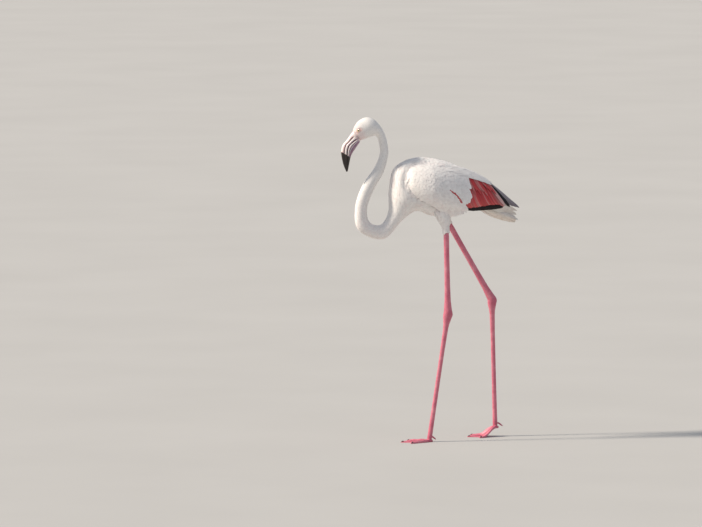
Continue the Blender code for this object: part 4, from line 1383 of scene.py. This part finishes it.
def foot_skin(side, joint):
    """A webbed foot with scutes on its toes, flat on the floor or on its toes."""
    plan, height, under = foot_grid()
    rows, cols = height.shape
    lift = joint.z - FLAT_JOINT_HEIGHT
    rise = lift * (1 - steady(0.0, BEND_LENGTH, plan[..., 0]))
    x, y = joint.x - plan[..., 0], joint.y - side * plan[..., 1]
    top = np.stack([x, y, rise + height], -1).reshape(-1, 3)
    sole = np.stack([x, y, rise + under], -1).reshape(-1, 3)
    r, c = np.meshgrid(np.arange(rows - 1), np.arange(cols - 1), indexing="ij")
    quads = np.stack([r * cols + c, r * cols + c + 1, (r + 1) * cols + c + 1,
                      (r + 1) * cols + c], -1).reshape(-1, 4)
    rim = np.concatenate([np.arange(rows) * cols, (rows - 1) * cols + np.arange(1, cols),
                          (np.arange(rows - 2, -1, -1) * cols + cols - 1),
                          np.arange(cols - 2, 0, -1)])
    following = np.roll(rim, -1)
    size = rows * cols
    wall = np.stack([rim, following, following + size, rim + size], -1)
    return (np.concatenate([top, sole]),
            [np.concatenate([quads, quads[:, ::-1] + size, wall])])


def horn_cone(start, end, radius, flat, rings=9, sides=12):
    """A blunt tapered horn from start to end: points, faces and share of its length."""
    start, end = np.array(start, float), np.array(end, float)
    axis = end - start
    across = np.cross(axis, [0, 0, 1.0])
    across /= np.linalg.norm(across)
    up = np.cross(across, axis)
    up /= np.linalg.norm(up)
    share = np.linspace(0, 1, rings)
    taper = np.sqrt((1 - share ** 1.7).clip(0.02, 1))
    turn = turns(sides)
    middle = start + axis * share[:, None]
    points = middle[:, None] \
        + across * (radius * taper[:, None] * np.cos(turn))[..., None] \
        + up * (radius * flat * taper[:, None] * np.sin(turn))[..., None]
    return points.reshape(-1, 3), tube_faces(rings, sides), np.repeat(share, sides)


def hind_toe(side, joint):
    """Root of a hind toe, and the way from there to its tip."""
    x, y, z = HIND_TOE_WAY
    return (joint + Vector(HIND_TOE_ROOT),
            Vector((x, side * y, z)).normalized() * HIND_TOE_LENGTH)


# The wing's flesh: x, and depth under the wing's outside.
ARM_DEPTH = ((-0.068, 0.006), (-0.05, 0.009), (0.0, 0.011), (0.125, 0.010))
ARM_SHARE = 0.82                  # of the wing's height that it takes up
ARM_INSIDE = 0.020                # from the bird's middle to its inner side


def arm_points(side):
    """The flesh of the folded wing, inside its coverts."""
    place = wing_ground(side)
    x, points = np.linspace(ARM_DEPTH[0][0], ARM_DEPTH[-1][0], 40), 15
    share = np.sin(np.linspace(-1, 1, points) * math.pi / 2) * ARM_SHARE
    rings = []
    for value in x:
        row = wing_row(np.array(value))
        z = (row[2] + row[4]) / 2 + (row[2] - row[4]) / 2 * share
        outside = place(np.full(points, value), z, at_x(ARM_DEPTH, value))
        inside = outside[::-1] * np.array([1, 0, 1]) + np.array([0, side * ARM_INSIDE, 0])
        rings.append(np.concatenate([outside, inside]))
    return np.array(rings).reshape(-1, 3), tube_faces(len(x), 2 * points)


def skin_parts():
    """The closed forms that make up the skin, as name, points and faces."""
    u = np.concatenate([np.linspace(0.0, HEAD_END, 70)[:-1],
                        np.linspace(HEAD_END, GROOVE_START, 120)[:-1],
                        np.linspace(GROOVE_START, TRUNK_END, 60)])
    sides = 44
    v = (np.arange(sides) + 0.5) * 2 * math.pi / sides
    grid_u, grid_v = np.meshgrid(u, v, indexing="ij")
    body = body_ground(grid_u, grid_v, coat_at(grid_u, 1)).reshape(-1, 3)
    parts = [("skin", body, tube_faces(len(u), sides))]
    for name, side in SIDES.items():
        joint = Vector(LEGS[name]["toe_joint"])
        root, reach = hind_toe(side, joint)
        points, faces, _ = horn_cone(root, root + reach, 0.0034, 0.9, rings=14, sides=14)
        parts += [(name + "_arm", *arm_points(side)),
                  (name + "_leg_skin", *leg_tube(LEGS[name])),
                  (name + "_foot_skin", *foot_skin(side, joint)),
                  (name + "_hind_skin", points, faces)]
    return parts


def united(first, *others):
    """Join closed forms to the first one, as an exact union."""
    for other in others:
        union = first.modifiers.new(other.name, "BOOLEAN")
        union.operation, union.solver, union.object = "UNION", "EXACT", other
    bpy.context.view_layer.update()
    shape = bpy.data.meshes.new_from_object(
        first.evaluated_get(bpy.context.evaluated_depsgraph_get()))
    first.modifiers.clear()
    first.data = shape
    for other in others:
        bpy.data.objects.remove(other)
    return first


def smooth_toe_joints(shape):
    """Blend each tarsus into its foot. The soles stay flat."""
    bm = bmesh.new()
    bm.from_mesh(shape)
    bmesh.ops.remove_doubles(bm, verts=bm.verts, dist=0.00005)
    for leg in LEGS.values():
        joint = Vector(leg["toe_joint"])
        around = [vert for vert in bm.verts if (vert.co - joint).length < TOE_BLEND_REACH
                  and vert.co.z > joint.z - TOE_BLEND_DEPTH]
        for _ in range(8):
            bmesh.ops.smooth_vert(bm, verts=around, factor=0.5, use_axis_x=True,
                                  use_axis_y=True, use_axis_z=True)
    bm.to_mesh(shape)
    bm.free()
    shape.shade_smooth()


BARE_LEG = (-0.12, 0.648)         # x behind which, and z below which, skin is bare
CORAL_SKIN = (0.085, 0.02, 0.69)  # x, y and z beyond which it lies under the coral


def mark_skin(shape):
    """Mark bare legs, bare face, joints, and what lies under the coral coverts."""
    co = np.empty(len(shape.vertices) * 3, np.float32)
    shape.vertices.foreach_get("co", co)
    co = co.reshape(-1, 3)
    joints = np.zeros(len(co))
    for leg in LEGS.values():
        for corner, reach in (("ankle", 0.018), ("toe_joint", 0.014)):
            joints = np.maximum(joints, np.exp(
                -(np.linalg.norm(co - np.array(leg[corner]), axis=1) / reach) ** 2))
    x, y, z = co.T
    marks = {
        "bare": (x > BARE_LEG[0]) & (z < BARE_LEG[1]),
        "face": (near_eye(co) < FACE_PATCH) | lores(co),
        "coral": (x > CORAL_SKIN[0]) & (np.abs(y) > CORAL_SKIN[1]) & (z > CORAL_SKIN[2]),
        "joint": joints * 0.55,
    }
    for key, value in marks.items():
        layer = shape.attributes.new(key, "FLOAT", "POINT")
        layer.data.foreach_set("value", value.astype(np.float32))


def joined_skin(material):
    """One skin: body, wing flesh, legs and feet united, and smoothed at the toe joints."""
    skin = united(*[outward(mesh_object(*part)) for part in skin_parts()])
    smooth_toe_joints(skin.data)
    mark_skin(skin.data)
    nodes = ["head", "neck_upper", "neck_middle", "neck_lower", "trunk"]
    nodes += [side + part for side in SIDES
              for part in ("_thigh", "_shank", "_tarsus", "_foot", "_hind_toe")]
    return show(skin, "leg_skin", material, *nodes)


def claw_places(side, joint):
    """Start, end, radius and flatness of the claws of one foot."""
    places = []
    for index, (angle, length) in enumerate(TOES):
        root = Vector((0.0, (1 - index) * TOE_SPACING))
        ahead = Vector((math.cos(angle), math.sin(angle)))
        ends = []
        for reach, height in ((length - CLAW_LENGTH * 0.85, 0.0046),
                              (length - 0.0006, 0.0022)):
            plan = root + ahead * reach
            ends.append((joint.x - plan.x, joint.y - side * plan.y, height))
        places.append((*ends, 0.0023, 0.75))
    root, reach = hind_toe(side, joint)
    places.append((root + reach * 0.72, root + reach, 0.0019, 0.8))
    return places


def claws(material):
    """Blunt flat claws at the ends of the toes."""
    for name, side in SIDES.items():
        points, quads, caps, share, shift = [], [], [], [], 0
        for place in claw_places(side, Vector(LEGS[name]["toe_joint"])):
            p, faces, along = horn_cone(*place)
            points.append(p)
            quads.append(faces[0] + shift)
            caps.append(faces[1] + shift)
            share.append(along)
            shift += len(p)
        piece = mesh_object(name + "_claws", np.concatenate(points),
                            [np.concatenate(quads), np.concatenate(caps)],
                            {"along": np.concatenate(share)})
        show(outward(piece), "leg_skin", material)


# ---------------------------------------------------------------- head

def bill_marks(x, z, t, down, pale, dark, slit, upper):
    """Where one side of a half is black, carries a painted highlight on its ridges and painted
    shade in its grooves, and is mauve partly deepened by painted shade. t counts from the
    base, and down is the share of the way from the half's top line."""
    edge = BLACK_EDGE[1] + BLACK_SLOPE * (x - BLACK_EDGE[0]) + 0.0004 * np.sin(x * 700)
    marks = {
        "black": steady(-0.0010, 0.0022, edge - z),
        # The ridge mark is a painted highlight, and the groove mark is painted shade, also
        # over the nostril slit.
        "ridge": steady(0.15, 0.75, pale) * steady(0.15, 0.9, t),
        "groove": np.maximum(steady(0.15, 0.75, dark) * steady(0.3, 1.2, t), slit),
        # The mauve mark is partly the bill's own tint and partly painted shade.
        "shaded_mauve": 0.35 * steady(0.45, 0.9, down) if upper else steady(0.0, 1.0, t),
    }
    return {key: np.clip(value + 0 * z, 0, 1) for key, value in marks.items()}


def bill_half(name, top_line, low_line, profile, upper, material, *nodes):
    """One half of the bill. Profile gives the half breadth from its top line down, and how
    much each point carries of a painted highlight as a ridge and of painted shade as a groove."""
    t = np.linspace(-0.3, len(top_line) - 1, 114)
    top, low = curve(top_line, t), curve(low_line, t)
    breadth = curve(BILL_BREADTH, t)[:, 0]
    q, half, pale, dark = np.array(profile).T
    fine = np.linspace(0, len(q) - 1, 46)
    fq, fh, fp, fd = (curve(column, fine)[:, 0] for column in (q, half, pale, dark))
    length = np.linalg.norm(top - low, axis=-1)[:, None]
    down = (low - top) / length
    span = length - BILL_GAP
    line = top + down * (0.0 if upper else BILL_GAP)
    xz = line[:, None] + down[:, None] * (span * fq)[..., None]
    fade = steady(0.3, 1.2, t)[:, None]
    # At the base both halves share the head's own oval section.
    whole = UPPER_SHARE * fq if upper else UPPER_SHARE + (1 - UPPER_SHARE) * fq
    oval = np.sqrt((1 - (2 * whole - 1) ** 2).clip(0, 1)) * np.clip(fh / 0.25, 0, 1)
    y = breadth[:, None] * (fh * fade + (1 - fade) * oval)
    # The nostril: a long slit in the upper half's side groove.
    slit = np.zeros_like(y)
    if upper:
        (mid_t, half_t), (mid_q, half_q) = NOSTRIL
        slit = np.exp(-((t[:, None] - mid_t) / half_t) ** 6 - ((fq - mid_q) / half_q) ** 4)
        y = y - NOSTRIL_DEPTH * slit
    one = np.stack([xz[..., 0], -y, xz[..., 1]], -1)
    other = one[:, ::-1] * np.array([1, -1, 1])
    ring = np.concatenate([one, other], axis=1)
    marks = bill_marks(xz[..., 0], xz[..., 1], t[:, None], fq, fp, fd, slit, upper)
    values = {key: np.concatenate([value, value[:, ::-1]], axis=1)
              for key, value in marks.items()}
    piece = mesh_object(name, ring.reshape(-1, 3), tube_faces(len(t), ring.shape[1]), values)
    return show(outward(piece), "bill_horn", material, *nodes)


UPPER_PROFILE = (   # share down, half breadth, pale ridge as painted highlight, dark groove as painted shade
    (0.00, 0.00, 0.6, 0.0), (0.03, 0.26, 0.6, 0.0), (0.10, 0.46, 0.5, 0.0),
    (0.22, 0.60, 0.1, 0.0), (0.33, 0.64, 0.0, 0.0), (0.42, 0.60, 0.0, 0.9),
    (0.50, 0.63, 0.0, 0.5), (0.58, 0.75, 0.8, 0.0), (0.70, 0.84, 1.0, 0.0),
    (0.80, 0.84, 0.7, 0.0), (0.88, 0.79, 0.0, 1.0), (0.95, 0.80, 0.0, 0.6),
    (1.00, 0.76, 0.0, 1.0), (0.985, 0.40, 0.0, 1.0), (0.98, 0.0, 0.0, 1.0))
LOWER_PROFILE = (
    (0.02, 0.00, 0.0, 1.0), (0.015, 0.45, 0.0, 1.0), (0.00, 0.84, 0.0, 0.9),
    (0.05, 0.97, 0.9, 0.0), (0.14, 1.00, 1.0, 0.0), (0.22, 0.98, 0.3, 0.0),
    (0.29, 0.94, 0.0, 0.8), (0.36, 0.99, 0.6, 0.0), (0.42, 1.00, 0.4, 0.0),
    (0.50, 0.97, 0.0, 0.2), (0.65, 0.94, 0.0, 0.0), (0.77, 0.84, 0.0, 0.0),
    (0.87, 0.63, 0.0, 0.0), (0.95, 0.40, 0.0, 0.0), (0.99, 0.18, 0.0, 0.1),
    (0.985, 0.00, 0.0, 0.3))


# Lids, from the opening to the edge under the feathers: angle from the opening, and
# height over the skin or the ball.
LID_ROWS = ((0.0, 0.00004), (0.012, 0.00030), (0.045, 0.00065), (0.09, 0.00075),
            (0.13, 0.00050), (0.17, 0.00055), (0.22, 0.00035), (0.28, 0.00040),
            (0.35, 0.00015), (0.43, -0.0006))
LID_THICKNESS = 0.0011


class EyeSocket:
    """Centre of one eyeball in the head, and the directions from there."""

    def __init__(self, shell, side):
        aside = Vector((EYE_PLACE[0], side * 0.08, EYE_PLACE[1]))
        cheek = shell.ray_cast(aside, Vector((0, -side, 0)))[0]
        centre = Vector((cheek.x, cheek.y + side * (EYE_STANDS_OUT - EYE_RADIUS), cheek.z))
        self.out = np.array((shell.find_nearest(centre)[0] - centre).normalized())
        self.centre = np.array(centre)
        long_way = np.array([-EYE_SLANT[0], 0.0, -EYE_SLANT[1]])
        self.long_way = unit(long_way - (long_way @ self.out) * self.out)
        short_way = np.cross(self.out, self.long_way)
        self.short_way = short_way * np.sign(short_way[2])

    def ways(self, polar, turn):
        """Directions at angles from the eye's axis and round it."""
        aside = self.long_way * np.cos(turn)[..., None] \
            + self.short_way * np.sin(turn)[..., None]
        return self.out * np.cos(polar)[..., None] + aside * np.sin(polar)[..., None]


def eyeball(name, socket, material):
    """A ball with a slight bulge over the iris."""
    rings, sides = 34, 64
    reach = np.linspace(0.004, 1, rings)
    turn = turns(sides)
    polar = reach[:, None] * math.pi * 0.62 + 0 * turn
    bulge = 0.0003 * np.exp(-(polar / 0.42) ** 4)
    points = socket.centre \
        + socket.ways(polar, turn + 0 * polar) * (EYE_RADIUS + bulge)[..., None]
    ray = np.sin(turn * 31) * 0.6 + np.sin(turn * 17 + 1.3) * 0.4
    ball = mesh_object(name + "_eye_ball", points.reshape(-1, 3), tube_faces(rings, sides),
                       {"reach": np.repeat(reach, sides), "ray": np.tile(ray, rings)})
    show(outward(ball), "eye", material, name + "_eye")


def eyelids(name, socket, shell, material):
    """Lids from the edge of the opening over the ball, out under the feathers."""
    sides, centre = 72, socket.centre
    turn = turns(sides)
    high = np.abs(np.sin(turn)) ** 1.5 * np.where(np.sin(turn) > 0, 0.17, 0.10)
    opening = 0.64 - high + 0.10 * np.abs(np.cos(turn)) ** 8
    front = []
    for k, (away, over) in enumerate(LID_ROWS):
        way = socket.ways(opening + away, turn)
        height = []
        for one in way:
            hit = shell.ray_cast(Vector(centre + one * 0.03), Vector(-one))[0]
            height.append(np.linalg.norm(np.array(hit) - centre) if hit else EYE_RADIUS)
        wrinkle = 0.00008 * np.cos(k * 2.4 + turn * 9)
        radius = np.maximum(EYE_RADIUS, height) + over + wrinkle * (k > 1)
        front.append(centre + way * radius[:, None])
    front = np.array(front)
    back = front[::-1] - LID_THICKNESS * unit(front[::-1] - centre)
    closed = np.concatenate([front, back])
    faces = tube_faces(len(closed), sides, capped=False)[0]
    last, s = (len(closed) - 1) * sides, np.arange(sides)
    seam = np.stack([last + s, last + (s + 1) % sides, (s + 1) % sides, s], -1)
    lids = mesh_object(name + "_eyelids", closed.reshape(-1, 3),
                       [np.concatenate([faces, seam])])
    show(outward(lids), "plumage", material)


def eyes(skin, eye_material, lid_material):
    """Eyeballs set in the head, and the ring of bare skin and lids round each."""
    shell = BVHTree.FromObject(skin, bpy.context.evaluated_depsgraph_get())
    for name, side in SIDES.items():
        socket = EyeSocket(shell, side)
        eyeball(name, socket, eye_material)
        eyelids(name, socket, shell, lid_material)


# ---------------------------------------------------------------- studio

VIEW_TURN = math.radians(15)      # of the camera towards the bird's front
VIEW_RISE = math.radians(5)
VIEW_DISTANCE = 20.0
VIEW_WIDTH = 2.065                # of the view at the bird
VIEW_CENTRE = (-0.2324, 0.5191)   # from the bird's foot, to the right and up
KEY_WAY = (-0.76, 0.60, 0.20)     # to the right, up and towards the camera
KEY_STRENGTH, KEY_WIDTH = 4.4, math.radians(7)
AIR_STRENGTH = 0.54
FLOOR_RINGS = (0.0, 1.0, 4.0, 15.0, 70.0)    # radii


def view_ways():
    """The camera's right and up, and the way from the bird to the camera."""
    right = Vector((math.cos(VIEW_TURN), -math.sin(VIEW_TURN), 0))
    back = Vector((-math.sin(VIEW_TURN) * math.cos(VIEW_RISE),
                   -math.cos(VIEW_TURN) * math.cos(VIEW_RISE), math.sin(VIEW_RISE)))
    return right, back.cross(right), back


def placed(name, data, location, back):
    """A camera or lamp at a place, looking against the direction back."""
    thing = bpy.data.objects.new(name, data)
    bpy.context.scene.collection.objects.link(thing)
    thing.location = location
    thing.rotation_euler = back.to_track_quat("Z", "Y").to_euler()
    return thing


def camera_and_light():
    """Camera, a key light from the bird's front, and pale air all round."""
    right, up, back = view_ways()
    aim = right * VIEW_CENTRE[0] + up * VIEW_CENTRE[1]
    camera = placed("camera", bpy.data.cameras.new("camera"), aim + back * VIEW_DISTANCE,
                    back)
    camera.data.lens = camera.data.sensor_width * VIEW_DISTANCE / VIEW_WIDTH
    camera.data.clip_end = 200.0
    bpy.context.scene.camera = camera
    sun = bpy.data.lights.new("key_light", "SUN")
    sun.energy, sun.angle = KEY_STRENGTH, KEY_WIDTH
    sun.color = linear("#FFF4E4")[:3]
    way = right * KEY_WAY[0] + up * KEY_WAY[1] + back * KEY_WAY[2]
    placed("key_light", sun, Vector((0, 0, 0.6)) + way.normalized() * 6.0, way)
    world = bpy.data.worlds.new("studio_air")
    world.use_nodes = True
    shade = world.node_tree.nodes["Background"]
    shade.inputs["Color"].default_value = linear("#DDE6F4")
    shade.inputs["Strength"].default_value = AIR_STRENGTH
    bpy.context.scene.world = world
    bpy.context.scene.view_settings.view_transform = "Standard"


def studio_floor():
    """A wide round floor of pale paper."""
    sides = 48
    turn, rings = turns(sides), np.array(FLOOR_RINGS) + 0.001
    points = np.stack([np.outer(rings, np.cos(turn)), np.outer(rings, np.sin(turn)),
                       np.zeros((len(rings), sides))], -1)
    floor = mesh_object("studio_floor", points.reshape(-1, 3),
                        tube_faces(len(rings), sides, capped=False))
    floor.data.materials.append(floor_paper())


# ---------------------------------------------------------------- the bird

white, coral, black = white_plumage(), coral_plumage(), black_plumage()
skin = joined_skin(leg_skin())
horn = bill_horn()
bill_half("upper_bill", CULMEN, MOUTH, UPPER_PROFILE, True, horn, "bill_upper")
bill_half("lower_bill", MOUTH, KEEL, LOWER_PROFILE, False, horn, "bill_lower")
eyes(skin, eye_glass(), lid_skin())
claws(claw_horn())
coat_pieces(white)
thigh_feathers(white)
pale = tail_plumage()
wing_pieces(white, coral, black, pale)
tail_pieces(pale)
saddle_plumes(white)
camera_and_light()
studio_floor()
